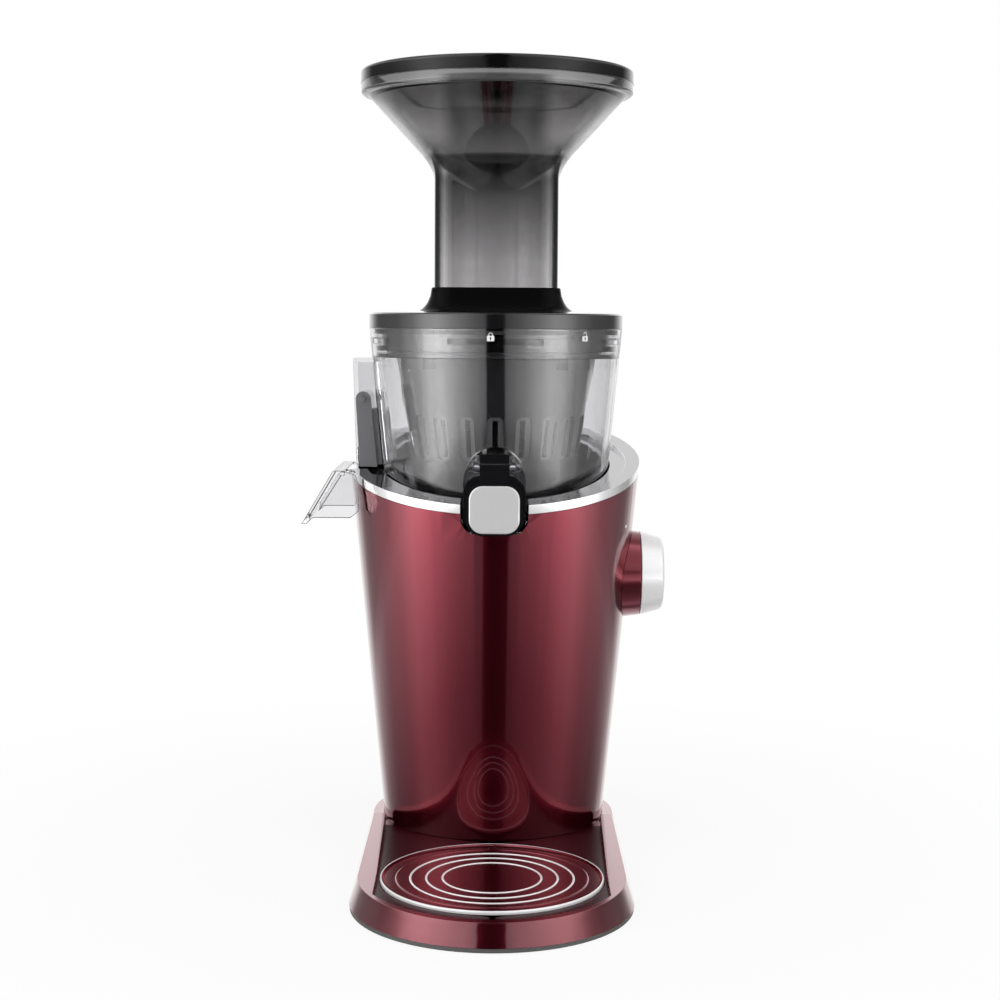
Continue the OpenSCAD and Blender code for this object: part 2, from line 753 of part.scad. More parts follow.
module drive_shaft() color(steel) placed() {
    shoulder_z = drive_gear_z + drive_gear_t;
    hex_z = seat_floor_z + 3;
    translate([0, 0, mid_z]) cylinder(h = drive_gear_z - mid_z, r = journal_r);
    translate([0, 0, drive_gear_z]) cylinder(h = drive_gear_t, r = gear_seat_r);
    translate([0, 0, shoulder_z]) cylinder(h = hex_z - shoulder_z, r = shaft_r);
    translate([0, 0, hex_z]) intersection() {
        cylinder(h = hex_top - hex_z, r = hex_af / sqrt(3), $fn = 6);
        cylinder(h = hex_top - hex_z, r = hex_af / sqrt(3) - 0.2);
    }
}

// ---- motor ----
module at_motor() translate([0, motor_y, 0]) children();
module at_bolts() for (a = [45:90:315]) rotate(a) translate([bolt_ring, 0, 0]) children();
module bell(z, ball_z) {
    difference() {
        translate([0, 0, z]) cylinder(h = bell_h + 4, r = stator_r);
        children();
        translate([0, 0, ball_z]) cylinder(h = ball_t, r = ball_r);
        cylinder(h = far, r = motor_shaft_r + 2);
        at_bolts() cylinder(h = far, r = bolt_r);
        for (a = [22.5:45:337.5]) rotate(a) translate([22, 0, z - 1]) cylinder(h = bell_h + 6, r = 4);
    }
}
module bell_room(z, hub_cut) {
    ring(z, bell_h + 1, winding_r + winding_tube + 0.5, ball_r + 3);
    translate([0, 0, z + hub_cut]) cylinder(h = 2, r = ball_r + 4);
}
module motor_upper_bell() color("#a8abb0") placed() at_motor()
    bell(gearbox_z - bell_h - 4, gearbox_z - ball_t - 2)
        bell_room(gearbox_z - bell_h - 5, 0);
module motor_lower_bell() color("#a8abb0") placed() at_motor()
    bell(lower_bell_z, lower_bell_z + 2)
        bell_room(lower_bell_z + 4, bell_h - 1);
module stator_core() color("#777b80") placed() at_motor() difference() {
    ring(stator_z, stator_h, stator_r, rotor_r + 0.6);
    at_bolts() cylinder(h = far, r = bolt_r);
    for (a = [0:30:330]) rotate(a + 15) translate([rotor_r + 5.5, 0, 0]) cylinder(h = far, r = 2.4);
}
module stator_windings() color("#b4642d") placed() at_motor() {
    for (z = [stator_z + stator_h + winding_tube, stator_z - winding_tube])
        translate([0, 0, z]) rotate_extrude() translate([winding_r, 0]) circle(winding_tube, $fn = 32);
}
module motor_bearings() color(steel) placed() at_motor() {
    ring(gearbox_z - ball_t - 2, ball_t, ball_r, motor_shaft_r + run);
    ring(lower_bell_z + 2, ball_t, ball_r, motor_shaft_r + run);
}
module motor_bolts() color(steel) placed() at_motor() at_bolts() {
    translate([0, 0, lower_bell_z - 2]) cylinder(h = gearbox_z - lower_bell_z + 2, r = bolt_r);
    translate([0, 0, lower_bell_z - 2]) cylinder(h = 2, r = 3.2);
}
module rotor_core() color("#5f6368") placed() at_motor() {
    ring(stator_z, stator_h, rotor_r, motor_shaft_r);
    ring(stator_z + stator_h, 3, rotor_r - 1, ball_r + 3.6);
    ring(stator_z - 3, 3, rotor_r - 1, ball_r + 3.6);
}
module rotor_shaft() color(steel) placed() at_motor()
    translate([0, 0, fan_z - 2]) cylinder(h = large_z + large_t + 1 - fan_z + 2, r = motor_shaft_r);
module cooling_fan() color(black) placed() at_motor() {
    difference() {
        union() {
            translate([0, 0, fan_z + fan_h - 2]) cylinder(h = 2, r = fan_r);
            translate([0, 0, fan_z]) cylinder(h = fan_h, r = 9);
            for (a = [0:36:324]) rotate(a) translate([8, -0.8, fan_z]) cube([fan_r - 9, 1.6, fan_h - 2]);
        }
        cylinder(h = far, r = motor_shaft_r);
    }
}
module motor_pinion() color(steel) placed() at_motor() difference() {
    translate([0, 0, large_z]) linear_extrude(large_t) rotate(90) gear_plan(pinion_n, motor_m);
    cylinder(h = far, r = motor_shaft_r);
}

// ---- board, switch and dial ----
module control_board() color("#2f6b45") placed() difference() {
    translate([-board_w, board_y, board_z]) cube([2 * board_w, board_t, board_h]);
    for (x = [-column_x, column_x], z = [board_z + 6, board_z + board_h - 6])
        translate([x, board_y - 1, z]) along_y() cylinder(h = 5, r = 1.5);
}
module board_parts() color("#30343a") placed() translate([0, board_y + board_t, board_z]) {
    translate([-16, 0, 14]) cube([14, 7, 20]);
    translate([4, 0, 10]) cube([16, 6, 12]);
    translate([8, 0, 36]) along_y() cylinder(h = 7, r = 6);
    translate([-10, 0, 46]) along_y() cylinder(h = 6, r = 4);
}
module dial_boss() color(wine) placed() difference() {
    union() {
        difference() {
            translate([60, 0, dial_z]) along_x()
                cylinder(h = dial_boss_x - 60, r1 = dial_boss_r + 2, r2 = dial_boss_r - 1.6);
            body_cone(0, floor_z, ring_z);
        }
        translate([switch_x, 0, dial_z]) along_x() cylinder(h = dial_boss_x - switch_x - 4, r = spigot_r);
    }
    translate([0, 0, dial_z]) along_x() cylinder(h = far, r = dial_shaft_r + run);
}
module rotary_switch() color("#4a4d52") placed() difference() {
    translate([switch_x - switch_t, -switch_w / 2, dial_z - switch_w / 2])
        cube([switch_t, switch_w, switch_w]);
    translate([switch_x - switch_t + 4, 0, dial_z]) along_x() cylinder(h = far, r = dial_shaft_r + run);
}
module at_knob() translate([dial_boss_x + cap_gap, 0, dial_z]) along_x() children();
module dial_knob() color(silver) placed() at_knob() difference() {
    rotate_extrude() polygon([[0, 0], [dial_knob_r, 0], [dial_face_r + 0.5, dial_knob_t - 2],
                              [dial_face_r - 0.8, dial_knob_t - 0.5], [dial_face_r - 2.2, dial_knob_t],
                              [0, dial_knob_t]]);
    translate([0, 0, -1]) cylinder(h = dial_knob_t - 3, r = dial_shaft_r);
    ring(-1, dial_knob_t - 3, dial_knob_r - 4.5, dial_shaft_r + 3);
}
module dial_shaft() color(steel) placed() translate([switch_x - switch_t + 5, 0, dial_z]) along_x()
    cylinder(h = dial_boss_x + cap_gap + dial_knob_t - 4 - switch_x + switch_t - 5, r = dial_shaft_r);

// ---- bowl ----
module lug_arc(z, h, r_out, r_in, turn, span) {
    for (i = [0:lug_n - 1]) translate([0, 0, z]) rotate(turn + i * 360 / lug_n - span / 2)
        rotate_extrude(angle = span) translate([r_in, 0]) square([r_out - r_in, h]);
}
module juice_bowl() color(smoke) placed() {
    difference() {
        bowl_cone(0, seat_floor_z, bowl_top);
        bowl_cone(-bowl_wall, seat_floor_z + bowl_floor_t, shelf_z);
        bowl_cone(-collar_wall, shelf_z, bowl_top + 1);
        cylinder(h = far, r = bowl_tube_r);
        translate([-12, -far, seat_floor_z + bowl_floor_t]) cube([24, far - 50, 20]);
        translate([-far, -13, outlet_z + 5]) cube([far - 50, 26, 31]);
    }
    ring(seat_floor_z, bowl_tube_h, bowl_tube_r + bowl_tube_wall, bowl_tube_r);
    difference() {
        for (y = [-15, 13]) translate([-66, y, port_z - 3]) cube([16, 2, port_h + 3]);
        strainer_cone(port_z - 4, port_z + port_h + 1, -1);
    }
    lug_arc(bowl_lug_z, lug_t, bowl_r(bowl_lug_z) - collar_wall + 0.5, bowl_lug_r, -90, lug_span);
}
module bowl_seal() color("#3b3b3f") placed()
    ring(tube_top, 2, bowl_tube_r + bowl_tube_wall, auger_hub_r + 0.4);
module arch_plan(inset) {
    w = spout_w - inset;
    r = spout_corner - inset / 2;
    translate([0, spout_arch_z]) circle(w);
    translate([-w, spout_z + inset + r]) square([2 * w, spout_arch_z - spout_z - inset - r]);
    translate([-w + r, spout_z + inset]) square([2 * (w - r), far / 20]);
    for (x = [-w + r, w - r]) translate([x, spout_z + inset + r]) circle(r);
}
module juice_spout() color(smoke) placed() {
    difference() {
        intersection() {
            facing_y(-spout_reach, -50) arch_plan(0);
            facing_x(-far / 2, far / 2)
                polygon([[-spout_reach - 1, spout_z - 1], [-50, spout_z - 1], [-50, spout_mouth_top + 20],
                         [-spout_reach + 34, spout_mouth_top + 12.5], [-spout_reach, spout_mouth_top]]);
        }
        bowl_cone(0, seat_floor_z, bowl_top);
        translate([0, 0, spout_z - 5])
            cylinder(h = seat_floor_z + fit - spout_z + 5, r = seat_land_r + 0.4);
        intersection() {
            facing_y(-spout_reach - 1, -40) arch_plan(spout_wall);
            translate([-far / 2, -far, spout_floor_z]) cube([far, far, spout_inner_top - spout_floor_z]);
        }
        translate([-ear_x, -spout_reach - 1, hinge_z - 1.8]) cube([2 * ear_x, 12, 30]);
        translate([-ear_x, hinge_y, hinge_z]) along_x() cylinder(h = 2 * ear_x, r = barrel_r + 0.5);
        translate([-far / 2, hinge_y, hinge_z]) along_x() cylinder(h = far, r = cap_pin_r);
    }
    for (x = [-ear_x - ear_t, ear_x]) difference() {
        union() {
            translate([x, hinge_y, hinge_z]) along_x() cylinder(h = ear_t, r = barrel_r + 0.2);
            translate([x, -spout_reach, spout_inner_top + 0.4])
                cube([ear_t, 5.2, hinge_z - spout_inner_top - 0.4]);
        }
        translate([x - 1, hinge_y, hinge_z]) along_x() cylinder(h = ear_t + 2, r = cap_pin_r);
    }
}
module cap_pin() color(steel) placed() translate([-barrel_w - ear_t, hinge_y, hinge_z]) along_x()
    cylinder(h = 2 * (barrel_w + ear_t), r = cap_pin_r);
module juice_cap() color(black) placed() {
    facing_y(cap_back_y - cap_flange_t, cap_back_y) translate([0, spout_z])
        round_square(spout_w - 0.3, spout_mouth_top - 1.6 - spout_z, 10);
    difference() {
        facing_y(cap_front_y, cap_back_y) translate([0, cap_z]) round_square(cap_w, cap_h, cap_corner);
        facing_y(cap_front_y - 1, cap_front_y + 1) translate([0, cap_z + cap_plate_in])
            round_square(cap_w - cap_plate_in, cap_h - 2 * cap_plate_in, cap_corner - cap_plate_in);
    }
    difference() {
        union() {
            translate([-barrel_w, hinge_y, hinge_z]) along_x() cylinder(h = 2 * barrel_w, r = barrel_r);
            translate([-barrel_w, hinge_y - 1.1, hinge_z]) cube([2 * barrel_w, 2.2, 8]);
            facing_x(-barrel_w, barrel_w)
                polygon([[hinge_y - barrel_r * 0.98, hinge_z], [cap_back_y - cap_t + 1, cap_z + cap_h - 2],
                         [cap_back_y, cap_z + cap_h - 2], [cap_back_y, hinge_z - barrel_r * 0.9],
                         [hinge_y, hinge_z - 2]]);
        }
        translate([-barrel_w - 1, hinge_y, hinge_z]) along_x()
            cylinder(h = 2 * barrel_w + 2, r = cap_pin_r + run);
    }
}
module cap_plate() color(silver) placed() facing_y(cap_front_y - 0.6, cap_front_y + 1)
    translate([0, cap_z + cap_plate_in])
        round_square(cap_w - cap_plate_in, cap_h - 2 * cap_plate_in, cap_corner - cap_plate_in);
module cap_seal() color("#4a4a4e") placed() difference() {
    w = spout_w - spout_wall - 0.6;
    facing_y(cap_back_y, -spout_reach + 2.4) translate([0, spout_floor_z + 0.6])
        round_square(w, spout_inner_top - spout_floor_z - 1.8, 5);
    facing_y(cap_back_y - 1, 0) translate([0, spout_floor_z + 3])
        round_square(w - 2.6, spout_inner_top - spout_floor_z - 6.6, 3);
}

// ---- pulp outlet ----
module facing_side(y0, y1) {
    translate([0, y0, 0]) rotate([90, 0, 0]) mirror([0, 0, 1]) linear_extrude(y1 - y0) children();
}
module pulp_outlet() color(clear) placed() difference() {
    union() {
        for (y = [-outlet_w, outlet_w - outlet_wall]) facing_side(y, y + outlet_wall)
            polygon([[-55, outlet_z], [-outlet_foot_x, outlet_z], [-outlet_x, seat_floor_z + outlet_top],
                     [-55, seat_floor_z + outlet_top]]);
        translate([-outlet_x, -outlet_w, seat_floor_z + outlet_top - 2.6])
            cube([outlet_x - 55, 2 * outlet_w, 2.6]);
        translate([-guide_neck_x, -outlet_w, outlet_z])
            cube([guide_neck_x - 55, 2 * outlet_w, outlet_floor_t]);
    }
    bowl_cone(0, seat_floor_z, bowl_top);
    translate([-gate_x, 0, gate_z]) along_y() translate([0, 0, -far / 2]) cylinder(h = far, r = gate_pin_r);
}
module gate_pin() color(steel) placed() translate([-gate_x, -outlet_w, gate_z]) along_y()
    cylinder(h = 2 * outlet_w, r = gate_pin_r);
module pulp_gate() color([0.2, 0.2, 0.22, 0.8]) placed() difference() {
    union() {
        translate([-gate_x, -gate_w, gate_z]) along_y() cylinder(h = 2 * gate_w, r = gate_barrel_r);
        facing_side(-gate_w, gate_w)
            polygon([[-gate_x - gate_barrel_r, gate_z], [-gate_x - 2.2, gate_foot],
                     [-bowl_r(gate_foot) - 1.7, gate_foot], [-gate_x + gate_barrel_r, gate_z]]);
    }
    facing_side(-gate_w + 2.2, gate_w - 2.2)
        polygon([[-gate_x - 30, gate_z - gate_barrel_r - 1], [-gate_x - 30, gate_foot + 2.2],
                 [-bowl_r(gate_foot) - 4.4, gate_foot + 2.2],
                 [-gate_x + gate_barrel_r - 2.4, gate_z - gate_barrel_r - 1]]);
    translate([-gate_x, -far / 2, gate_z]) along_y() cylinder(h = far, r = gate_pin_r + run);
}
function gate_inner_x(z) = let (x0 = gate_x - gate_barrel_r, x1 = bowl_r(gate_foot) + 1.7)
    -x1 - (x0 - x1) * (z - gate_foot) / (gate_z - gate_foot);
module gate_seal() color("#55555a") placed() difference() {
    top = gate_z - gate_barrel_r - 2;
    foot = gate_foot + seal_lift;
    facing_side(-15, 15)
        polygon([[gate_inner_x(top), top], [gate_inner_x(foot), foot], [-60, foot], [-60, top]]);
    bowl_cone(fit + 0.1, seat_floor_z, bowl_top, $fn = 400);
}
module guide_side(x_in, top, foot) {
    polygon([[-guide_neck_x, top], [-guide_slope_x, top], [-guide_x, foot - 3.8],
             [-guide_x + 3, foot - 3.4], [-guide_x + 7, foot], [-x_in - 5, foot], [-x_in, foot + 4],
             [-x_in, top - 8], [-x_in - 2, top - 2.6]]);
}
module pulp_guide() color(clear) placed() {
    top = outlet_z + outlet_floor_t + 0.5;
    foot = seat_floor_z - 2;
    facing_side(-guide_w, -guide_w + guide_wall) guide_side(guide_front_x, top, foot);
    facing_side(guide_w - guide_wall, guide_w) guide_side(guide_back_x, top, foot);
    translate([-guide_slope_x, -guide_w + guide_wall, top - 2.4])
        cube([guide_slope_x - guide_neck_x, 2 * (guide_w - guide_wall), 2.4]);
    facing_side(-guide_w + guide_wall, guide_w - guide_wall)
        polygon([[-guide_slope_x + 0.6, top], [-guide_slope_x, top], [-guide_x, foot - 3.8],
                 [-guide_x + 3, foot - 3.4], [-guide_slope_x + 2.6, top - 2.4],
                 [-guide_slope_x + 0.6, top - 2.4]]);
}

// ---- strainers and auger ----
module strainer_cone(z0, z1, inset) {
    translate([0, 0, z0]) cylinder(h = z1 - z0, r1 = strainer_or(z0) - inset, r2 = strainer_or(z1) - inset);
}
module window_cut(w, h) {
    e = w / 4;
    facing_y(-far / 2, 0)
        polygon([[-e, 0], [e, 0], [w / 2 - 0.5, e / 2], [w / 2, 1.5 * e], [w / 2, h - 1.5 * e],
                 [w / 2 - 0.5, h - e / 2], [e, h], [-e, h], [-w / 2 + 0.5, h - e / 2],
                 [-w / 2, h - 1.5 * e], [-w / 2, 1.5 * e], [-w / 2 + 0.5, e / 2]]);
}
module at_windows() {
    for (i = [0:window_n - 1]) if (abs(i * 360 / window_n - 270) > 20)
        rotate(i * 360 / window_n) translate([0, 0, window_z]) children();
}
module pulp_port() {
    translate([-far, -port_w, port_z]) cube([far, 2 * port_w, port_h]);
}
module outer_strainer() color("#47474b") placed() difference() {
    union() {
        difference() {
            strainer_cone(strainer_foot, strainer_top, 0);
            strainer_cone(strainer_foot + strainer_floor_t, strainer_top + 1, outer_wall);
        }
        ring(shelf_z, flange_t, bowl_r(shelf_z) - collar_wall - fit, strainer_or(shelf_z) - outer_wall / 2);
        for (a = [-43, 43, 137, -137]) rotate(a - 97) translate([0, 0, shelf_z - tab_h])
            rotate_extrude(angle = 14) translate([strainer_r - 1.2, 0])
                square([bowl_r(shelf_z) - bowl_wall - strainer_r, tab_h]);
    }
    translate([0, 0, strainer_foot - 1]) cylinder(h = 10, r = bowl_tube_r + bowl_tube_wall + 1);
    at_windows() window_cut(window_w, window_h);
    pulp_port();
}
module inner_strainer() color("#5c5c60") placed() difference() {
    z0 = strainer_foot + strainer_floor_t;
    gap = outer_wall + nest_gap;
    union() {
        strainer_cone(z0, strainer_top, gap);
        ring(strainer_top, inner_rim_t, strainer_or(strainer_top) + 5, inner_ir(strainer_top));
    }
    strainer_cone(z0 - 1, strainer_top + 2, gap + inner_wall);
    at_windows() translate([-slot_w / 2, -far / 2, 2]) cube([slot_w, far / 2, window_h - 4]);
    pulp_port();
}
skirt_r = inner_ir(auger_foot) - 1;
function core_r(z) = let (t = (z - auger_foot - auger_skirt_h) / (auger_top - auger_foot - auger_skirt_h))
    13 + (skirt_r - 3 - 13) * pow(1 - min(max(t, 0), 1), 1.7);
function tip_r(z) = z < flight_wide_z ? inner_ir(z) - flight_gap
    : let (t = (z - flight_wide_z) / (flight_z1 - flight_wide_z))
      (inner_ir(flight_wide_z) - flight_gap) * (1 - t) + flight_top_r * t;
function flight_ring(k) = let (t = k / flight_steps, z = flight_z0 + (flight_z1 - flight_z0) * t,
    a = 360 * flight_turns * t, ri = core_r(z) - 3, ro = tip_r(z),
    hr = flight_root_t / 2, ht = flight_tip_t / 2)
    [[ri * cos(a), ri * sin(a), z - hr], [ro * cos(a), ro * sin(a), z - ht],
     [ro * cos(a), ro * sin(a), z + ht], [ri * cos(a), ri * sin(a), z + hr]];
module flight() {
    pts = [for (k = [0:flight_steps]) each flight_ring(k)];
    last = 4 * flight_steps;
    sides = [for (k = [0:flight_steps - 1], j = [0:3]) let (a = 4 * k + j, b = 4 * k + (j + 1) % 4)
        each [[a, b, a + 4], [b, b + 4, a + 4]]];
    polyhedron(points = pts, faces = concat([[0, 2, 1], [0, 3, 2]], sides,
        [[last, last + 1, last + 2], [last, last + 2, last + 3]]), convexity = 8);
}
core_foot = auger_foot + auger_skirt_h;
core_h = auger_top - core_foot;
module auger() color("#2e2e31") placed() difference() {
    union() {
        rotate_extrude() polygon(concat(
            [[0, auger_foot], [skirt_r, auger_foot], [skirt_r, core_foot]],
            [for (i = [0:10]) let (z = core_foot + core_h * i / 10) [core_r(z), z]],
            [[11, auger_top + 2], [7, auger_top + 3.4], [0, auger_top + 3.4]]));
        for (i = [0:flight_n - 1]) rotate(i * 360 / flight_n) flight();
    }
    ring(auger_foot - 1, auger_cavity_top - auger_foot + 1, auger_cavity_r, auger_hub_r);
    translate([0, 0, auger_foot - 1]) cylinder(h = auger_hub_z - auger_foot + 1, r = auger_cavity_r);
    translate([0, 0, auger_foot - 1]) cylinder(h = socket_top - auger_foot + 1, r = socket_r);
    translate([0, 0, auger_top - 12]) cylinder(h = 30, r = pin_r);
}
module auger_socket() color(steel) placed() difference() {
    translate([0, 0, auger_hub_z]) cylinder(h = socket_top - auger_hub_z, r = socket_r);
    translate([0, 0, auger_hub_z - 1])
        cylinder(h = hex_top + 2 - auger_hub_z, r = (hex_af + hex_gap) / sqrt(3), $fn = 6);
}
module auger_pin() color(steel) placed() translate([0, 0, auger_top - 12])
    cylinder(h = lid_boss_z + bearing_h - 1 - auger_top + 12, r = pin_r);

// ---- lid and hopper ----
module chute_plan(d) {
    c = chute_corner + d;
    intersection() {
        circle(chute_w + d);
        translate([-far / 2, 0]) square([far, far]);
    }
    side = chute_w - chute_corner;
    for (s = [-1, 1]) translate([s * side, -chute_front + chute_corner]) circle(c);
    translate([-side, -chute_front - d]) square([2 * side, chute_front + d]);
    translate([-chute_w - d, -chute_front + chute_corner])
        square([2 * (chute_w + d), chute_front - chute_corner]);
}
module chute_slice(z, d) translate([0, 0, z]) linear_extrude(eps) chute_plan(d, $fn = 32);
module flare_step(z0, d0, z1, d1) hull() {
    chute_slice(z0, d0);
    chute_slice(z1, d1);
}
module lid_shape() {
    translate([0, 0, lid_z]) cylinder(h = lid_ring_t - 0.8, r = lid_r);
    translate([0, 0, lid_ring_z - 0.8]) cylinder(h = 0.8, r1 = lid_r, r2 = lid_r - 0.8);
    translate([0, 0, lid_ring_z]) cylinder(h = 1.7, r1 = lid_r - 1.5, r2 = lid_r - 30);
    flare_step(collar_top - 1.2, 1.7, collar_top - eps, 1.1);
    flare_step(collar_top - 4.8, 2.1, collar_top - 1.2, 1.7);
    flare_step(lid_ring_z + 6.5, 3.6, collar_top - 4.8, 2.1);
    flare_step(lid_ring_z + 2.6, 6.4, lid_ring_z + 6.5, 3.6);
    flare_step(lid_ring_z, 12, lid_ring_z + 2.6, 6.4);
    ring(lid_skirt_foot, lid_z - lid_skirt_foot, lid_skirt_r, lid_skirt_r - 2);
    lug_arc(lid_skirt_foot, lug_t, lid_lug_r, lid_skirt_r - 0.5, -90, lug_span);
}
module lid() color(black) placed() difference() {
    union() {
        difference() {
            lid_shape();
            translate([0, 0, chute_foot]) linear_extrude(far) chute_plan(fit);
            translate([0, 0, lid_skirt_foot - 1]) linear_extrude(far) chute_plan(-chute_wall);
            translate([0, 0, lid_z - 20]) cylinder(h = 24, r = lid_mouth_r);
        }
        translate([-lid_mouth_r - 1, -bridge_w, lid_z - 2])
            cube([2 * lid_mouth_r + 2, 2 * bridge_w, bridge_t]);
        translate([0, 0, lid_boss_z]) cylinder(h = lid_z + bridge_t - 2 - lid_boss_z, r = lid_boss_r);
    }
    translate([0, 0, lid_boss_z - 1]) cylinder(h = bearing_h + 1, r = bearing_r);
}
module lid_bearing() color("#8d8f93") placed() ring(lid_boss_z, bearing_h, bearing_r, pin_r + run);
module lid_gasket() color("#9a9a9e") placed()
    ring(bowl_top - 3.4, 2.4, bowl_r(bowl_top - 3.4) - collar_wall - fit, lid_skirt_r);
module funnel_solid(inset) {
    step = inset / cos(funnel_lean);
    translate([0, 0, chute_top])
        cylinder(h = funnel_h, r1 = funnel_foot_r - step, r2 = funnel_rim_r - step);
}
module feed_hopper() color(smoke) placed() difference() {
    union() {
        translate([0, 0, chute_foot]) linear_extrude(neck_z - chute_foot) chute_plan(0);
        funnel_solid(0);
        translate([0, 0, funnel_top]) cylinder(h = 1.6, r1 = hopper_r - 1.6, r2 = hopper_r);
        translate([0, 0, funnel_top + 1.6]) cylinder(h = lip_h - 1.6, r = hopper_r);
    }
    translate([0, 0, chute_foot - 1]) linear_extrude(neck_z - chute_foot + 1) chute_plan(-chute_wall);
    funnel_solid(chute_wall);
    translate([0, 0, funnel_top - eps])
        cylinder(h = lip_h + 1, r = hopper_r - 1.6 - chute_wall / cos(funnel_lean));
}
module hopper_rim() color(black) placed() translate([0, 0, rim_z]) rotate_extrude()
    polygon([[hopper_r + 0.3 - rim_w, 0], [hopper_r + 0.3, 0], [hopper_r + 0.3, rim_h - 1.6],
             [hopper_r - 0.2, rim_h - 0.4], [hopper_r - 1, rim_h], [hopper_r + 1 - rim_w, rim_h],
             [hopper_r + 0.3 - rim_w, rim_h - 1]]);

base_housing();
bottom_plate();
rubber_feet();
plate_screws();
cord_gland();
chassis();
body_shell();
top_ring();
bowl_seat();
seat_screws();
shaft_seal();
gearbox_housing();
gearbox_midplate();
gearbox_cover();
gearbox_screws();
drive_bearings();
cluster_pin();
motor_upper_bell();
motor_lower_bell();
stator_core();
stator_windings();
motor_bearings();
motor_bolts();
control_board();
board_parts();
dial_boss();
rotary_switch();
cup_tray();
tray_ring();
rotor_core();
rotor_shaft();
cooling_fan();
motor_pinion();
cluster_gear();
drive_shaft();
drive_gear();
dial_knob();
dial_shaft();
juice_bowl();
juice_spout();
pulp_outlet();
pulp_guide();
outer_strainer();
inner_strainer();
cap_pin();
gate_pin();
bowl_seal();
auger();
auger_socket();
auger_pin();
lid();
lid_gasket();
lid_bearing();
feed_hopper();
hopper_rim();
juice_cap();
cap_plate();
cap_seal();
pulp_gate();
gate_seal();
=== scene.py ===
import bpy, bmesh, json
from math import radians, sin, cos, pi
from mathutils import Vector, Matrix


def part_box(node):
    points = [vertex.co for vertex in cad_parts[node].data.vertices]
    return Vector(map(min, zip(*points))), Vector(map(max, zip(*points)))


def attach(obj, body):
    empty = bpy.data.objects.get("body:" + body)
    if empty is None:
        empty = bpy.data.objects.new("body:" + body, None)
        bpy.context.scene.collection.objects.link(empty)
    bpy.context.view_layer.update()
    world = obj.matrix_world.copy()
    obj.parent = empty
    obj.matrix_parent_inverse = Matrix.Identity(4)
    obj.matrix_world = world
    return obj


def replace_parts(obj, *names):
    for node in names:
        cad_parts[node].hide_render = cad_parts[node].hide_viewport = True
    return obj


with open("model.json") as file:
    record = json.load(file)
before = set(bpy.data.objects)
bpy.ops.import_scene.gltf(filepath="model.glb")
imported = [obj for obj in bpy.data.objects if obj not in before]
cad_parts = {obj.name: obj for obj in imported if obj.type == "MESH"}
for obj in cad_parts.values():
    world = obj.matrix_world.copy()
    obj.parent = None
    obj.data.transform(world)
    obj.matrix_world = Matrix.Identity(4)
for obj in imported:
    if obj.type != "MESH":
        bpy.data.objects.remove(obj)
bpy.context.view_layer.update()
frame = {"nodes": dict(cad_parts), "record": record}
print("frame loaded:", len(frame["nodes"]), "nodes")

mm = 0.001
rimLow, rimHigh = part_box("hopper_rim")
axisX = (rimLow[0] + rimHigh[0]) / 2          # drive axis, about which most pieces are turned
axisY = (rimLow[1] + rimHigh[1]) / 2
toFrame = Matrix.Translation((axisX, axisY, 0)) @ Matrix.Scale(mm, 4)     # mm about that axis, to metres


def boxOf(node):                              # a node's corners in mm about the drive axis
    low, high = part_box(node)
    return ([(low[0] - axisX) / mm, (low[1] - axisY) / mm, low[2] / mm],
            [(high[0] - axisX) / mm, (high[1] - axisY) / mm, high[2] / mm])


# ---- node helpers ----
def mathNode(tree, operation, *values):       # values are numbers or sockets
    node = tree.nodes.new("ShaderNodeMath")
    node.operation = operation
    for slot, value in enumerate(values):
        if isinstance(value, (int, float)):
            node.inputs[slot].default_value = value
        else:
            tree.links.new(value, node.inputs[slot])
    return node.outputs[0]


def mapNode(tree, value, fromMin, fromMax, toMin, toMax):
    node = tree.nodes.new("ShaderNodeMapRange")
    levels = {"From Min": fromMin, "From Max": fromMax, "To Min": toMin, "To Max": toMax}
    for socket, level in levels.items():
        node.inputs[socket].default_value = level
    tree.links.new(value, node.inputs["Value"])
    return node.outputs["Result"]


def mixNode(tree, share, first, second):      # two shaders
    node = tree.nodes.new("ShaderNodeMixShader")
    for slot, value in enumerate((share, first, second)):
        tree.links.new(value, node.inputs[slot])
    return node.outputs[0]


# ---- camera ----
view = {"at": (3.1, -1103.2, 316.6), "pitch": 5.64, "roll": 0.0062, "lens": 65.4, "sensor": 36,
        "clip": (0.05, 50)}
scene = bpy.context.scene
scene.view_settings.view_transform = "Standard"
cameraData = bpy.data.cameras.new("camera")
cameraData.lens = view["lens"]
cameraData.sensor_width = view["sensor"]
cameraData.clip_start, cameraData.clip_end = view["clip"]
camera = bpy.data.objects.new("camera", cameraData)
scene.collection.objects.link(camera)
camera.matrix_world = (Matrix.Translation(toFrame @ Vector(view["at"]))
                       @ Matrix.Rotation(radians(90 - view["pitch"]), 4, "X")
                       @ Matrix.Rotation(view["roll"], 4, "Z"))
scene.camera = camera

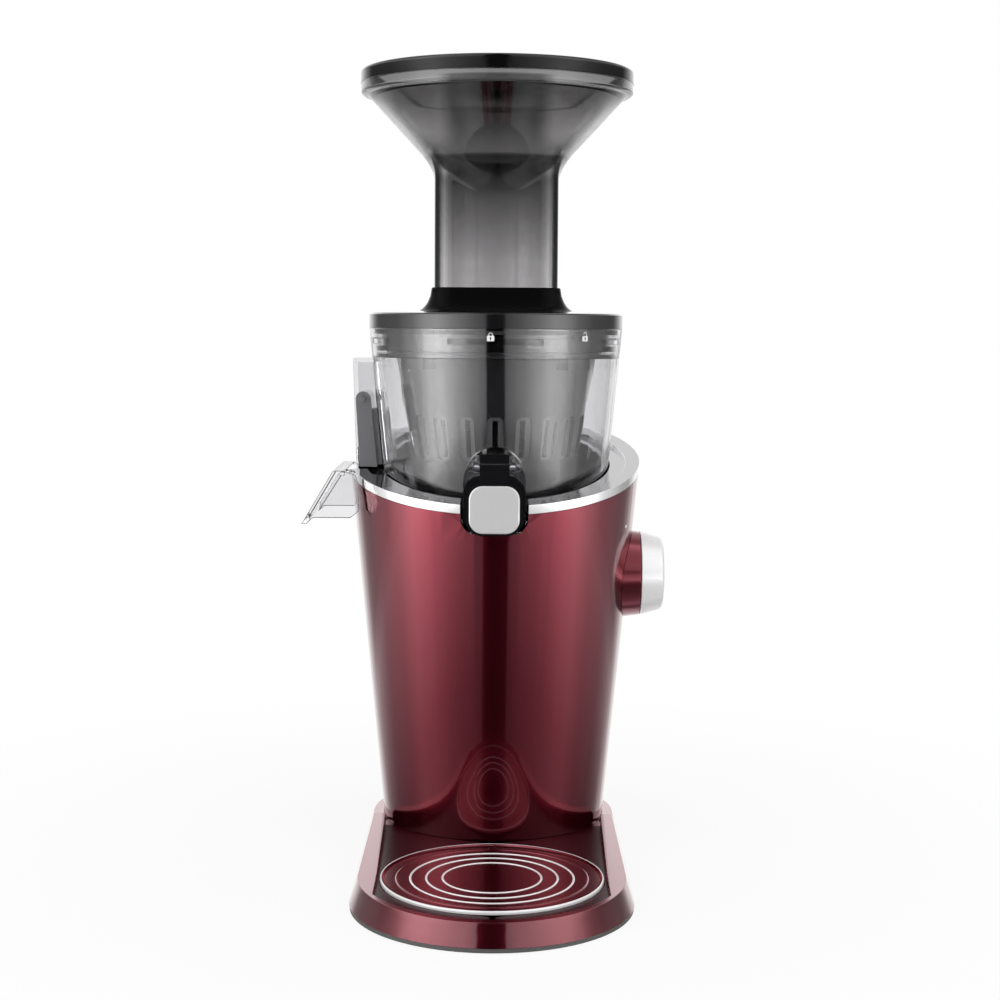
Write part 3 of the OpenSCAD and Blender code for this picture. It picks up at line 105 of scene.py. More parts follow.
# ---- lamps, and the studio that the gloss mirrors ----
studio = {
    "lamps": {            # azimuth and height angle seen from the object, distance, width, height, watts
        "leftBox": (-50, 20, 1.5, 1.2, 1.6, 9),
        "rightBox": (50, 20, 1.5, 1.2, 1.6, 8),
        "topBox": (0, 78, 1.5, 1.4, 1.4, 8),
    },
    "aim": (0, -40, 230),
    "skyFill": 0.42,
    "rightShare": 0.78,   # brightness of the right half against the left
    # brightness by degrees round from the front: low down, and from the split up
    "aroundLow": ((0, 0.0), (10.5, 0.0), (12.5, 0.72), (38, 1.3), (58, 2.0), (72, 2.35), (90, 1.35),
                  (112, 0.8), (135, 0.75), (150, 0.8), (180, 0.9)),
    "aroundHigh": ((0, 0.0), (7.5, 0.0), (9, 0.5), (20, 0.8), (38, 1.6), (54, 2.7), (66, 2.3), (80, 1.1),
                   (98, 0.45), (125, 0.2), (180, 0.2)),
    # share of the high row, and brightness, by degrees above the level
    "split": ((-90, 0.0), (-14.6, 0.0), (-13.4, 1.0), (8, 1.0), (13, 0.0), (90, 0.0)),
    "upward": ((-90, 0.5), (-30, 0.2), (-22, 0.24), (-19, 0.5), (-16.4, 0.78), (-15, 0.98), (-14.1, 1.2),
               (-13.2, 2.1), (-9, 2.1), (0, 1.35), (6, 0.62), (10, 0.62), (16, 1.2), (26, 1.3), (50, 1.0),
               (90, 1.0)),
    # the wall behind the object, round and upward
    "behind": ((0, 0.0), (128, 0.0), (152, 1.0), (180, 1.0)),
    "behindUp": ((-90, 1.0), (2, 1.0), (8, 1.35), (24, 1.35), (30, 0.9), (90, 0.8)),
}


def pointLamp(name, azimuth, height, distance, width, tall, watts):
    lamp = bpy.data.lights.new(name, "AREA")
    lamp.shape = "RECTANGLE"
    lamp.size = width
    lamp.size_y = tall
    lamp.energy = watts
    holder = bpy.data.objects.new(name, lamp)
    scene.collection.objects.link(holder)
    level = cos(radians(height))
    away = Vector((sin(radians(azimuth)) * level, -cos(radians(azimuth)) * level, sin(radians(height))))
    holder.location = toFrame @ Vector(studio["aim"]) + away * distance
    holder.rotation_euler = away.to_track_quat("Z", "Y").to_euler()
    holder.visible_camera = False
    holder.visible_glossy = False


for lampName, lampFacts in studio["lamps"].items():
    pointLamp(lampName, *lampFacts)

sky = bpy.data.worlds.new("studioSky")
scene.world = sky
sky.use_nodes = True
skyTree = sky.node_tree
skyTree.nodes.clear()


def skyMath(operation, *values):
    return mathNode(skyTree, operation, *values)


def skyCurve(value, row, low, high):          # brightness read from a row of (angle, brightness) pairs
    share = skyMath("DIVIDE", skyMath("SUBTRACT", value, low), high - low)
    curve = skyTree.nodes.new("ShaderNodeFloatCurve")
    line = curve.mapping.curves[0]
    peak = max(level for angle, level in row)
    spots = [((angle - low) / (high - low), level / peak) for angle, level in row]
    line.points[0].location = spots[0]
    line.points[-1].location = spots[-1]
    for spot in spots[1:-1]:
        line.points.new(*spot)
    for point in line.points:
        point.handle_type = "VECTOR"
    curve.mapping.update()
    skyTree.links.new(share, curve.inputs["Value"])
    return skyMath("MULTIPLY", curve.outputs["Value"], peak)


def byRound(name):                            # read by degrees from the front, the same on both sides
    return skyCurve(aroundAngle, studio[name], 0, 180)


def byHeight(name):
    return skyCurve(upAngle, studio[name], -90, 90)


def skyLight(strength):
    light = skyTree.nodes.new("ShaderNodeBackground")
    light.inputs["Color"].default_value = (1, 1, 1, 1)
    if isinstance(strength, (int, float)):
        light.inputs["Strength"].default_value = strength
    else:
        skyTree.links.new(strength, light.inputs["Strength"])
    return light.outputs[0]


degrees = 180 / pi
rays = skyTree.nodes.new("ShaderNodeLightPath")
toward = skyTree.nodes.new("ShaderNodeTexCoord")
parts = skyTree.nodes.new("ShaderNodeSeparateXYZ")
skyTree.links.new(toward.outputs["Generated"], parts.inputs[0])
sideways = skyMath("ABSOLUTE", parts.outputs["X"])
forward = skyMath("MULTIPLY", parts.outputs["Y"], -1)
aroundAngle = skyMath("MULTIPLY", skyMath("ARCTAN2", sideways, forward), degrees)
upAngle = skyMath("MULTIPLY", skyMath("ARCSINE", parts.outputs["Z"]), degrees)
high = byHeight("split")
lowPart = skyMath("MULTIPLY", byRound("aroundLow"), skyMath("SUBTRACT", 1, high))
highPart = skyMath("MULTIPLY", byRound("aroundHigh"), high)
boxes = skyMath("MULTIPLY", skyMath("ADD", lowPart, highPart), byHeight("upward"))
onRight = skyMath("MULTIPLY", skyMath("GREATER_THAN", parts.outputs["X"], 0), 1 - studio["rightShare"])
boxes = skyMath("MULTIPLY", boxes, skyMath("SUBTRACT", 1, onRight))
wallBehind = skyMath("MULTIPLY", byRound("behind"), byHeight("behindUp"))
boxes = skyMath("MAXIMUM", boxes, wallBehind)
unmirrored = skyMath("LESS_THAN", rays.outputs["Glossy Depth"], 0.5)
throughWhite = skyMath("MULTIPLY", rays.outputs["Is Transmission Ray"], unmirrored)
seenWhite = skyMath("MAXIMUM", rays.outputs["Is Camera Ray"], throughWhite)
lit = mixNode(skyTree, rays.outputs["Is Glossy Ray"], skyLight(studio["skyFill"]), skyLight(boxes))
skyOut = skyTree.nodes.new("ShaderNodeOutputWorld")
skyTree.links.new(mixNode(skyTree, seenWhite, lit, skyLight(1)), skyOut.inputs[0])
print("studio ready")

# ---- floor: white where it is seen, a little darker near the object, and left out of the reflections ----
floorFacts = {"size": 12, "colour": 0.82, "glow": 1, "near": 0.15, "far": 0.5, "nearShare": 0.90,
              "farShare": 1.0}
floorMesh = bmesh.new()
bmesh.ops.create_grid(floorMesh, x_segments=1, y_segments=1, size=floorFacts["size"])
floorData = bpy.data.meshes.new("floor")
floorMesh.to_mesh(floorData)
floorMesh.free()
floor = bpy.data.objects.new("floor", floorData)
scene.collection.objects.link(floor)


def floorFinish():
    paint = bpy.data.materials.new("paleFloor")
    paint.use_nodes = True
    tree = paint.node_tree
    tree.nodes.clear()
    diffuse = tree.nodes.new("ShaderNodeBsdfDiffuse")
    diffuse.inputs["Color"].default_value = (*[floorFacts["colour"]] * 3, 1)
    glow = tree.nodes.new("ShaderNodeEmission")
    glow.inputs["Strength"].default_value = floorFacts["glow"]
    clear = tree.nodes.new("ShaderNodeBsdfTransparent")
    place = tree.nodes.new("ShaderNodeTexCoord")
    reach = tree.nodes.new("ShaderNodeVectorMath")
    reach.operation = "LENGTH"
    tree.links.new(place.outputs["Object"], reach.inputs[0])
    path = tree.nodes.new("ShaderNodeLightPath")
    seen = mathNode(tree, "MAXIMUM", path.outputs["Is Camera Ray"], path.outputs["Is Transmission Ray"])
    fade = mapNode(tree, reach.outputs["Value"], floorFacts["near"], floorFacts["far"],
                   floorFacts["nearShare"], floorFacts["farShare"])
    share = mathNode(tree, "MULTIPLY", seen, fade)
    shown = mixNode(tree, share, diffuse.outputs[0], glow.outputs[0])
    result = mixNode(tree, path.outputs["Is Glossy Ray"], shown, clear.outputs[0])
    out = tree.nodes.new("ShaderNodeOutputMaterial")
    tree.links.new(result, out.inputs[0])
    return paint


floorData.materials.append(floorFinish())
print("floor ready")


# ---- finishes ----
def grainGroup():                     # mottled colour, roughness and height shared by every finish
    group = bpy.data.node_groups.new("surfaceGrain", "ShaderNodeTree")
    grey = (0.5, 0.5, 0.5, 1)
    for label, kind, start in (("Vector", "NodeSocketVector", None), ("Scale", "NodeSocketFloat", 400),
                               ("Colour", "NodeSocketColor", grey), ("Colour Two", "NodeSocketColor", grey),
                               ("Rough Low", "NodeSocketFloat", 0.3), ("Rough High", "NodeSocketFloat", 0.4)):
        socket = group.interface.new_socket(label, in_out="INPUT", socket_type=kind)
        if start is not None:
            socket.default_value = start
    for label, kind in (("Colour", "NodeSocketColor"), ("Roughness", "NodeSocketFloat"),
                        ("Height", "NodeSocketFloat")):
        group.interface.new_socket(label, in_out="OUTPUT", socket_type=kind)
    nodes, links = group.nodes, group.links
    ins = nodes.new("NodeGroupInput")
    outs = nodes.new("NodeGroupOutput")
    fine = nodes.new("ShaderNodeTexNoise")
    fine.inputs["Detail"].default_value = 3
    broad = nodes.new("ShaderNodeTexNoise")
    broad.inputs["Scale"].default_value = 14
    broad.inputs["Detail"].default_value = 2
    paint = nodes.new("ShaderNodeMix")
    paint.data_type = "RGBA"
    rough = nodes.new("ShaderNodeMapRange")
    links.new(ins.outputs["Vector"], fine.inputs["Vector"])
    links.new(ins.outputs["Vector"], broad.inputs["Vector"])
    links.new(ins.outputs["Scale"], fine.inputs["Scale"])
    links.new(fine.outputs["Fac"], paint.inputs["Factor"])
    links.new(ins.outputs["Colour"], paint.inputs["A"])
    links.new(ins.outputs["Colour Two"], paint.inputs["B"])
    links.new(broad.outputs["Fac"], rough.inputs["Value"])
    links.new(ins.outputs["Rough Low"], rough.inputs["To Min"])
    links.new(ins.outputs["Rough High"], rough.inputs["To Max"])
    links.new(paint.outputs["Result"], outs.inputs["Colour"])
    links.new(rough.outputs["Result"], outs.inputs["Roughness"])
    links.new(fine.outputs["Fac"], outs.inputs["Height"])
    return group


surfaceGrain = grainGroup()

# painted shade and highlight in the hopper's colour: (height in metres, share of the colour) in the middle
# and beside it, the mm from the axis between which the cone goes from one to the other, and the painted
# shade on the chute's front corners
hopperPaintedShade = {
    "middle": ((0.328, 1.26), (0.3515, 1.11), (0.382, 0.69), (0.399, 0.46), (0.4062, 0.14), (0.4125, 0.10),
               (0.4135, 0.60), (0.4255, 0.54), (0.444, 0.15), (0.453, 0.15), (0.4535, 0.48), (0.485, 0.28)),
    "beside": ((0.4135, 0.60), (0.4255, 0.95), (0.4317, 0.95), (0.444, 0.60), (0.4535, 0.48), (0.485, 0.28)),
    "blend": (25, 33),
    "corner": {"across": 33.7, "ahead": -16, "under": 0.409, "share": 0.02},
}

# two colours, low and high roughness, grain per metre, bump in mm, and the plain sockets
finishes = {
    "wine_lacquer": dict(
        colour=(0.205, 0.014, 0.030), second=(0.175, 0.011, 0.024), rough=(0.17, 0.20), grain=2600,
        bump=0.0015, metallic=0.9, coat=0.9, coatRough=0.012),
    "wine_base": dict(
        colour=(0.205, 0.014, 0.030), second=(0.175, 0.011, 0.024), rough=(0.17, 0.20), grain=2600,
        bump=0.0015, metallic=0.9, coat=0.9, coatRough=0.012, coatIor=1.85),
    # very dark wine, painted shade on the recess floor about the tray
    "wine_painted_shade": dict(
        colour=(0.030, 0.002, 0.005), second=(0.024, 0.0015, 0.004), rough=(0.24, 0.3), grain=2600,
        bump=0.0015, specular=0.12),
    "ring_silver": dict(
        colour=(0.93, 0.93, 0.935), second=(0.90, 0.90, 0.905), rough=(0.07, 0.10), grain=1800,
        bump=0.001, metallic=0.85),
    # darker copy of the ring's silver: painted shade on the ring's tops and over the bowl seat
    "ring_painted_shade": dict(
        colour=(0.62, 0.62, 0.63), second=(0.58, 0.58, 0.59), rough=(0.05, 0.07), grain=1800,
        bump=0.0006, metallic=1),
    "satin_silver": dict(
        colour=(0.92, 0.92, 0.93), second=(0.89, 0.89, 0.90), rough=(0.28, 0.33), grain=1800, bump=0.002,
        metallic=0.15, coat=0.3, coatRough=0.05),
    "silver_plate": dict(
        colour=(0.80, 0.795, 0.80), second=(0.75, 0.745, 0.75), rough=(0.28, 0.34), grain=1500,
        bump=0.003, metallic=0.4, coat=0.2, coatRough=0.06),
    # chrome with little metal and a near-white colour: the chrome's own colour and a painted highlight
    "bright_chrome": dict(
        colour=(0.96, 0.96, 0.965), second=(0.94, 0.94, 0.945), rough=(0.14, 0.18), grain=900,
        bump=0.001, metallic=0.12),
    "smoky_clear": dict(
        colour=(0.85, 0.845, 0.855), second=(0.82, 0.82, 0.83), rough=(0.02, 0.035), grain=90,
        bump=0.0006, glass=1.5),
    # the hopper's smoky plastic, with painted shade and highlight graded into its colour
    "smoky_hopper": dict(
        colour=(0.50, 0.49, 0.495), second=(0.46, 0.455, 0.46), rough=(0.04, 0.06), grain=90,
        bump=0.0006, glass=1.5, specular=0.25, paintedShade=hopperPaintedShade),
    "smoky_dark": dict(
        colour=(0.42, 0.42, 0.43), second=(0.38, 0.38, 0.39), rough=(0.03, 0.05), grain=90, bump=0.0006,
        glass=1.5),
    # dark glass for the rounded edges of clear pieces: painted shade
    "clear_painted_shade": dict(
        colour=(0.10, 0.10, 0.11), second=(0.08, 0.08, 0.09), rough=(0.05, 0.08), grain=90, bump=0.0006,
        glass=1.5),
    "clear": dict(
        colour=(0.93, 0.93, 0.94), second=(0.90, 0.90, 0.91), rough=(0.015, 0.03), grain=90, bump=0.0006,
        glass=1.5),
    "black_gloss": dict(
        colour=(0.006, 0.006, 0.007), second=(0.009, 0.009, 0.010), rough=(0.10, 0.13), grain=700,
        bump=0.0006, coat=0.8, coatRough=0.04),
    "black_rim": dict(
        colour=(0.003, 0.003, 0.003), second=(0.005, 0.005, 0.005), rough=(0.08, 0.10), grain=700,
        bump=0.0006),
    "black_plain": dict(
        colour=(0.003, 0.003, 0.003), second=(0.005, 0.005, 0.005), rough=(0.16, 0.2), grain=700,
        bump=0.0006, specular=0.03),
    "dark_satin": dict(
        colour=(0.025, 0.025, 0.028), second=(0.035, 0.035, 0.038), rough=(0.35, 0.5), grain=2200,
        bump=0.006),
    "strainer_grey": dict(
        colour=(0.035, 0.035, 0.038), second=(0.028, 0.028, 0.030), rough=(0.12, 0.16), grain=1500,
        bump=0.0015, coat=0.4, coatRough=0.05),
    "gate_grey": dict(
        colour=(0.44, 0.44, 0.45), second=(0.38, 0.38, 0.39), rough=(0.12, 0.16), grain=900, bump=0.0006,
        coat=0.4, coatRough=0.04),
    "seal_grey": dict(
        colour=(0.30, 0.30, 0.31), second=(0.26, 0.26, 0.27), rough=(0.4, 0.5), grain=1500, bump=0.004),
    "strainer_pale": dict(
        colour=(0.22, 0.22, 0.225), second=(0.18, 0.18, 0.185), rough=(0.16, 0.2), grain=1500,
        bump=0.0015, coat=0.4, coatRough=0.05),
    "grey_plate": dict(
        colour=(0.10, 0.095, 0.09), second=(0.08, 0.08, 0.08), rough=(0.5, 0.62), grain=2400, bump=0.02),
    "rubber": dict(
        colour=(0.03, 0.03, 0.03), second=(0.045, 0.045, 0.045), rough=(0.6, 0.8), grain=1600,
        bump=0.015),
    "steel": dict(
        colour=(0.58, 0.59, 0.61), second=(0.48, 0.49, 0.51), rough=(0.22, 0.34), grain=1300, bump=0.004,
        metallic=1),
    "cast_alloy": dict(
        colour=(0.55, 0.56, 0.58), second=(0.47, 0.48, 0.5), rough=(0.4, 0.55), grain=1200, bump=0.03,
        metallic=0.9),
    "gearbox_grey": dict(
        colour=(0.32, 0.33, 0.35), second=(0.28, 0.29, 0.31), rough=(0.45, 0.6), grain=1900, bump=0.015),
    "core_steel": dict(
        colour=(0.3, 0.31, 0.33), second=(0.22, 0.23, 0.25), rough=(0.4, 0.5), grain=2600, bump=0.02,
        metallic=0.9),
    "copper": dict(
        colour=(0.72, 0.33, 0.15), second=(0.6, 0.25, 0.1), rough=(0.25, 0.35), grain=2000, bump=0.05,
        metallic=1),
    "gear_ivory": dict(
        colour=(0.75, 0.7, 0.55), second=(0.7, 0.65, 0.5), rough=(0.4, 0.5), grain=1400, bump=0.005),
    "board_green": dict(
        colour=(0.03, 0.16, 0.08), second=(0.02, 0.12, 0.06), rough=(0.35, 0.45), grain=900, bump=0.005),
    "board_black": dict(
        colour=(0.02, 0.02, 0.022), second=(0.03, 0.03, 0.032), rough=(0.4, 0.5), grain=1500, bump=0.01),
    "print_white": dict(
        colour=(0.9, 0.9, 0.9), second=(0.85, 0.85, 0.85), rough=(0.4, 0.5), grain=2000, bump=0.001),
}


def heightShare(tree, height, row):
    share = row[0][1]
    for (low, before), (top, after) in zip(row, row[1:]):
        share = mathNode(tree, "MULTIPLY", share, mapNode(tree, height, low, top, 1, after / before))
    return share


# paints shade and highlight into the hopper's colour by height, by distance from the axis and at the chute's
# front corners
def paintedShadeColour(tree, place, colour, paintedShade):
    spot = tree.nodes.new("ShaderNodeSeparateXYZ")
    tree.links.new(place, spot.inputs[0])
    across, along, height = [spot.outputs[axis] for axis in "XYZ"]
    corner = paintedShade["corner"]
    middle = heightShare(tree, height, paintedShade["middle"])
    beside = heightShare(tree, height, paintedShade["beside"])
    apart = mathNode(tree, "ABSOLUTE", mathNode(tree, "SUBTRACT", across, axisX))
    atSide = mathNode(tree, "GREATER_THAN", apart, corner["across"] * mm)
    inFront = mathNode(tree, "LESS_THAN", along, axisY + corner["ahead"] * mm)
    below = mathNode(tree, "LESS_THAN", height, corner["under"])
    inCorner = mathNode(tree, "MULTIPLY", mathNode(tree, "MULTIPLY", atSide, inFront), below)
    cornerShade = mapNode(tree, inCorner, 0, 1, 1, corner["share"])
    outward = mapNode(tree, apart, *[x * mm for x in paintedShade["blend"]], 0, 1)
    onCone = mathNode(tree, "GREATER_THAN", height, paintedShade["beside"][0][0])
    blend = tree.nodes.new("ShaderNodeMix")
    tree.links.new(mathNode(tree, "MULTIPLY", outward, onCone), blend.inputs["Factor"])
    tree.links.new(middle, blend.inputs["A"])
    tree.links.new(beside, blend.inputs["B"])
    shaded = tree.nodes.new("ShaderNodeVectorMath")
    shaded.operation = "SCALE"
    tree.links.new(colour, shaded.inputs[0])
    tree.links.new(mathNode(tree, "MULTIPLY", blend.outputs["Result"], cornerShade), shaded.inputs["Scale"])
    return shaded.outputs[0]


def makeFinish(name, facts):
    paint = bpy.data.materials.new(name)
    paint.use_nodes = True
    tree = paint.node_tree
    nodes, links = tree.nodes, tree.links
    shader = nodes["Principled BSDF"]
    place = nodes.new("ShaderNodeTexCoord")
    grain = nodes.new("ShaderNodeGroup")
    grain.node_tree = surfaceGrain
    grain.inputs["Scale"].default_value = facts["grain"]
    grain.inputs["Colour"].default_value = (*facts["colour"], 1)
    grain.inputs["Colour Two"].default_value = (*facts["second"], 1)
    grain.inputs["Rough Low"].default_value, grain.inputs["Rough High"].default_value = facts["rough"]
    colour = grain.outputs["Colour"]
    if "paintedShade" in facts:
        colour = paintedShadeColour(tree, place.outputs["Object"], colour, facts["paintedShade"])
    relief = nodes.new("ShaderNodeBump")
    relief.inputs["Strength"].default_value = 0.5
    relief.inputs["Distance"].default_value = facts["bump"] * mm
    links.new(place.outputs["Object"], grain.inputs["Vector"])
    links.new(colour, shader.inputs["Base Color"])
    links.new(grain.outputs["Roughness"], shader.inputs["Roughness"])
    links.new(grain.outputs["Height"], relief.inputs["Height"])
    links.new(relief.outputs["Normal"], shader.inputs["Normal"])
    shader.inputs["Metallic"].default_value = facts.get("metallic", 0)
    shader.inputs["Coat Weight"].default_value = facts.get("coat", 0)
    shader.inputs["Coat Roughness"].default_value = facts.get("coatRough", 0.03)
    shader.inputs["Specular IOR Level"].default_value = facts.get("specular", 0.5)
    shader.inputs["Coat IOR"].default_value = facts.get("coatIor", 1.5)
    if "glass" in facts:
        shader.inputs["Transmission Weight"].default_value = 1
        shader.inputs["IOR"].default_value = facts["glass"]
    return paint


paints = {name: makeFinish(name, facts) for name, facts in finishes.items()}
slotOf = {row["node"]: row["material_slot"] for row in frame["record"]["subparts"]}
bodyOf = {node: body for body, nodes in frame["record"]["behaviour"]["bodies"].items() for node in nodes}
ownPaint = {"inner_strainer": "strainer_pale", "gate_seal": "seal_grey"}
for node, part in frame["nodes"].items():
    part.data.materials.clear()
    part.data.materials.append(paints[ownPaint.get(node, slotOf[node])])
print("finishes ready")


# ---- shaping helpers ----
def finishPiece(bm, name, body, slot, paint=None, angle=35, weld=True, place=toFrame):
    bmesh.ops.transform(bm, matrix=place, verts=bm.verts)
    if weld:
        bmesh.ops.remove_doubles(bm, verts=bm.verts, dist=0.00001)
        bmesh.ops.recalc_face_normals(bm, faces=bm.faces)
    data = bpy.data.meshes.new(name)
    bm.to_mesh(data)
    bm.free()
    data.polygons.foreach_set("use_smooth", [True] * len(data.polygons))
    data.set_sharp_from_angle(angle=radians(angle))
    data.materials.append(paints[paint or slot])
    piece = bpy.data.objects.new(name, data)
    scene.collection.objects.link(piece)
    evenNormals = piece.modifiers.new("evenNormals", "WEIGHTED_NORMAL")
    evenNormals.keep_sharp = True
    evenNormals.weight = 60
    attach(piece, body)
    return piece


def loftRings(bm, rings):              # rings of points, joined in turn and closed into a tube wall
    loops = []
    for points in rings:
        verts = [bm.verts.new(p) for p in points]
        loops.append([bm.edges.new((verts[i - 1], verts[i])) for i in range(len(verts))])
    for first, second in zip(loops, loops[1:] + loops[:1]):
        bmesh.ops.bridge_loops(bm, edges=first + second)


def loftPiece(name, body, slot, rings, paint, angle):
    bm = bmesh.new()
    loftRings(bm, rings)
    return finishPiece(bm, name, body, slot, paint=paint, angle=angle)


def spunPiece(name, body, slot, profile, paint=None, centre=(0, 0), angle=40, steps=160):
    bm = bmesh.new()
    verts = [bm.verts.new((centre[0] + r, centre[1], z)) for r, z in profile]
    edges = [bm.edges.new((verts[i - 1], verts[i])) for i in range(len(verts))]
    bmesh.ops.spin(bm, geom=verts + edges, cent=(*centre, 0), axis=(0, 0, 1), angle=2 * pi, steps=steps,
                   use_merge=True)
    return finishPiece(bm, name, body, slot, paint=paint, angle=angle)


# ---- moulded pieces with rounded edges ----
# weld in mm, angles below which faces are one and above which edges are rounded, and how steep a top may be
softening = {"weld": 0.005, "flat": 0.6, "sharp": 34, "segments": 3, "shading": 50, "topNormal": 0.9}

# rounding in mm of the edges, and the finishes where not the slot's: all over (paint), dark glass on the
# rounded edges as painted shade, and a darker silver on the tops as painted shade
softPieces = {
    "bodyShell": dict(node="body_shell", rounding=0.5),
    "baseHousing": dict(node="base_housing", rounding=0.9, paint="wine_base"),
    # the ring's tops and the bowl seat take the darker silver as painted shade
    "topRing": dict(node="top_ring", rounding=0.7, paint="ring_silver", shadedTops="ring_painted_shade"),
    "bowlSeat": dict(node="bowl_seat", rounding=0.5, paint="ring_painted_shade"),
    "dialBoss": dict(node="dial_boss", rounding=0.8),
    "dialKnob": dict(node="dial_knob", rounding=0.7),
    "footPlate": dict(node="bottom_plate", rounding=0.3),
    "juiceCap": dict(node="juice_cap", rounding=0.6),
    "capPlate": dict(node="cap_plate", rounding=0.9),
    "juiceSpout": dict(node="juice_spout", rounding=0.5, paint="smoky_clear", shadedRims="clear_painted_shade"),
    "pulpOutlet": dict(node="pulp_outlet", rounding=0.4, paint="smoky_clear", shadedRims="clear_painted_shade"),
    "pulpGate": dict(node="pulp_gate", rounding=0.4, paint="gate_grey"),
    "pulpGuide": dict(node="pulp_guide", rounding=0.4, paint="clear", shadedRims="clear_painted_shade"),
    "juiceBowl": dict(node="juice_bowl", rounding=0.4),
    "lidBody": dict(node="lid", rounding=0.3),
}


def softCopy(name, node, rounding, paint=None, shadedRims=None, shadedTops=None):
    bm = bmesh.new()
    bm.from_mesh(frame["nodes"][node].data)
    bmesh.ops.remove_doubles(bm, verts=bm.verts, dist=softening["weld"] * mm)
    bmesh.ops.dissolve_limit(bm, angle_limit=radians(softening["flat"]), verts=bm.verts, edges=bm.edges)
    least = radians(softening["sharp"])
    sharp = [e for e in bm.edges if len(e.link_faces) == 2 and e.calc_face_angle(0) > least]
    rounded = bmesh.ops.bevel(bm, geom=sharp, offset=rounding * mm, offset_type="OFFSET",
                              segments=softening["segments"], profile=0.5, affect="EDGES", clamp_overlap=True,
                              material=-1)
    second = []
    # the rounded edges of clear pieces take dark glass as painted shade
    if shadedRims:
        second = rounded["faces"]
    # the up-facing tops take the darker silver as painted shade
    elif shadedTops:
        second = [f for f in bm.faces if f.normal.z > softening["topNormal"]]
    for face in second:
        face.material_index = 1
    piece = finishPiece(bm, name, bodyOf[node], slotOf[node], paint=paint, angle=softening["shading"],
                        weld=False, place=Matrix())
    if shadedRims or shadedTops:
        piece.data.materials.append(paints[shadedRims or shadedTops])
    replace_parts(piece, node)


for pieceName, facts in softPieces.items():
    softCopy(pieceName, **facts)
    print("shaped", pieceName)


# ---- hopper: chute, filleted neck, funnel and lip ----
chute = {"half": 36.6, "front": 28.0, "corner": 10.0, "wall": 3.2, "tall": 73.5, "bevel": 0.4,
         "lower": (0.4, 20, 45), "steps": 144}
neck = {"below": 16, "step": 2.2, "count": 19, "fillet": 10.0, "innerFillet": 7.0}
funnel = {"rim": 76.9, "lean": 0.93252, "tall": 53.4, "wall": 4.375, "upper": (22, 10, 0.3), "lip": 81.0}
# height over the funnel, and mm in from the lip's radius
lipProfile = ((0, 2.2), (0.3, 1.4), (1.2, 0.2), (1.9, 0), (6.4, 0), (6.4, 6.0), (0.4, 6.0), (0, 6.4))
chuteFoot = boxOf("feed_hopper")[0][2]
chuteTop = chuteFoot + chute["tall"]
coneTop = chuteTop + funnel["tall"]


def planReach(angle, grow):            # distance from the axis to the chute's outline
    x, y = sin(angle), cos(angle)      # y towards the back
    half, front, corner = chute["half"] + grow, chute["front"] + grow, chute["corner"] + grow
    if y >= 0:
        return half
    side = half / max(abs(x), 1e-9)
    flat = front / -y
    reach = min(side, flat)
    cx, cy = half - corner, front - corner
    if abs(x) * reach > cx and -y * reach > cy:
        along = abs(x) * cx + -y * cy
        reach = along + (max(along * along - (cx * cx + cy * cy) + corner * corner, 0)) ** 0.5
    return reach


def softMax(a, b, width):              # the larger of the two, with a fillet where they meet
    near = max(width - abs(a - b), 0) / width
    return max(a, b) + near * near * width / 4


def planRing(z, reachOf):
    angles = [2 * pi * i / chute["steps"] for i in range(chute["steps"])]
    return [(reachOf(a) * sin(a), reachOf(a) * cos(a), z) for a in angles]


def chuteRing(z, grow):
    return planRing(z, lambda a: planReach(a, grow))


def plainRing(z, r):
    return planRing(z, lambda a: r)


def coneReach(z):
    return funnel["rim"] - funnel["lean"] * (coneTop - z)


def outerRing(z):
    return planRing(z, lambda a: softMax(planReach(a, 0), coneReach(z), neck["fillet"]))


def innerRing(z):
    return planRing(z, lambda a: softMax(planReach(a, -chute["wall"]), coneReach(z) - funnel["wall"],
                                         neck["innerFillet"]))


levels = [chuteFoot + z for z in chute["lower"]]
levels += [chuteTop - neck["below"] + neck["step"] * i for i in range(neck["count"])]
levels += [coneTop - z for z in funnel["upper"]]
hopperRings = [chuteRing(chuteFoot, -chute["bevel"])]
hopperRings += [outerRing(z) for z in levels]
hopperRings += [plainRing(coneTop, funnel["rim"] + 0.2)]
hopperRings += [plainRing(coneTop + z, funnel["lip"] - inset) for z, inset in lipProfile]
hopperRings += [innerRing(z) for z in reversed(levels)]
hopperRings += [chuteRing(chuteFoot, -chute["wall"] + chute["bevel"])]
hopper = loftPiece("feedHopper", "hopper", "smoky_clear", hopperRings, "smoky_hopper", 40)
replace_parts(hopper, "feed_hopper")
print("shaped feedHopper")

# ---- rim over the hopper's lip: mm in from its outside, and height ----
rim = {"proud": 0.3, "wide": 4.5}
rimProfile = ((rim["wide"], 0.03), (0.25, 0.03), (0, 0.25), (0, 6.1), (0.15, 6.9), (0.6, 7.6), (1.3, 8.05),
              (2.1, 8.2), (3.0, 8.15), (3.8, 7.8), (4.3, 7.2), (rim["wide"], 6.4))
rimFoot = boxOf("hopper_rim")[0][2]
rimOut = funnel["lip"] + rim["proud"]
rimPoints = [(rimOut - inset, rimFoot + z) for inset, z in rimProfile]
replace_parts(spunPiece("hopperRim", "hopper", "black_gloss", rimPoints, paint="black_rim"), "hopper_rim")
print("shaped hopperRim")

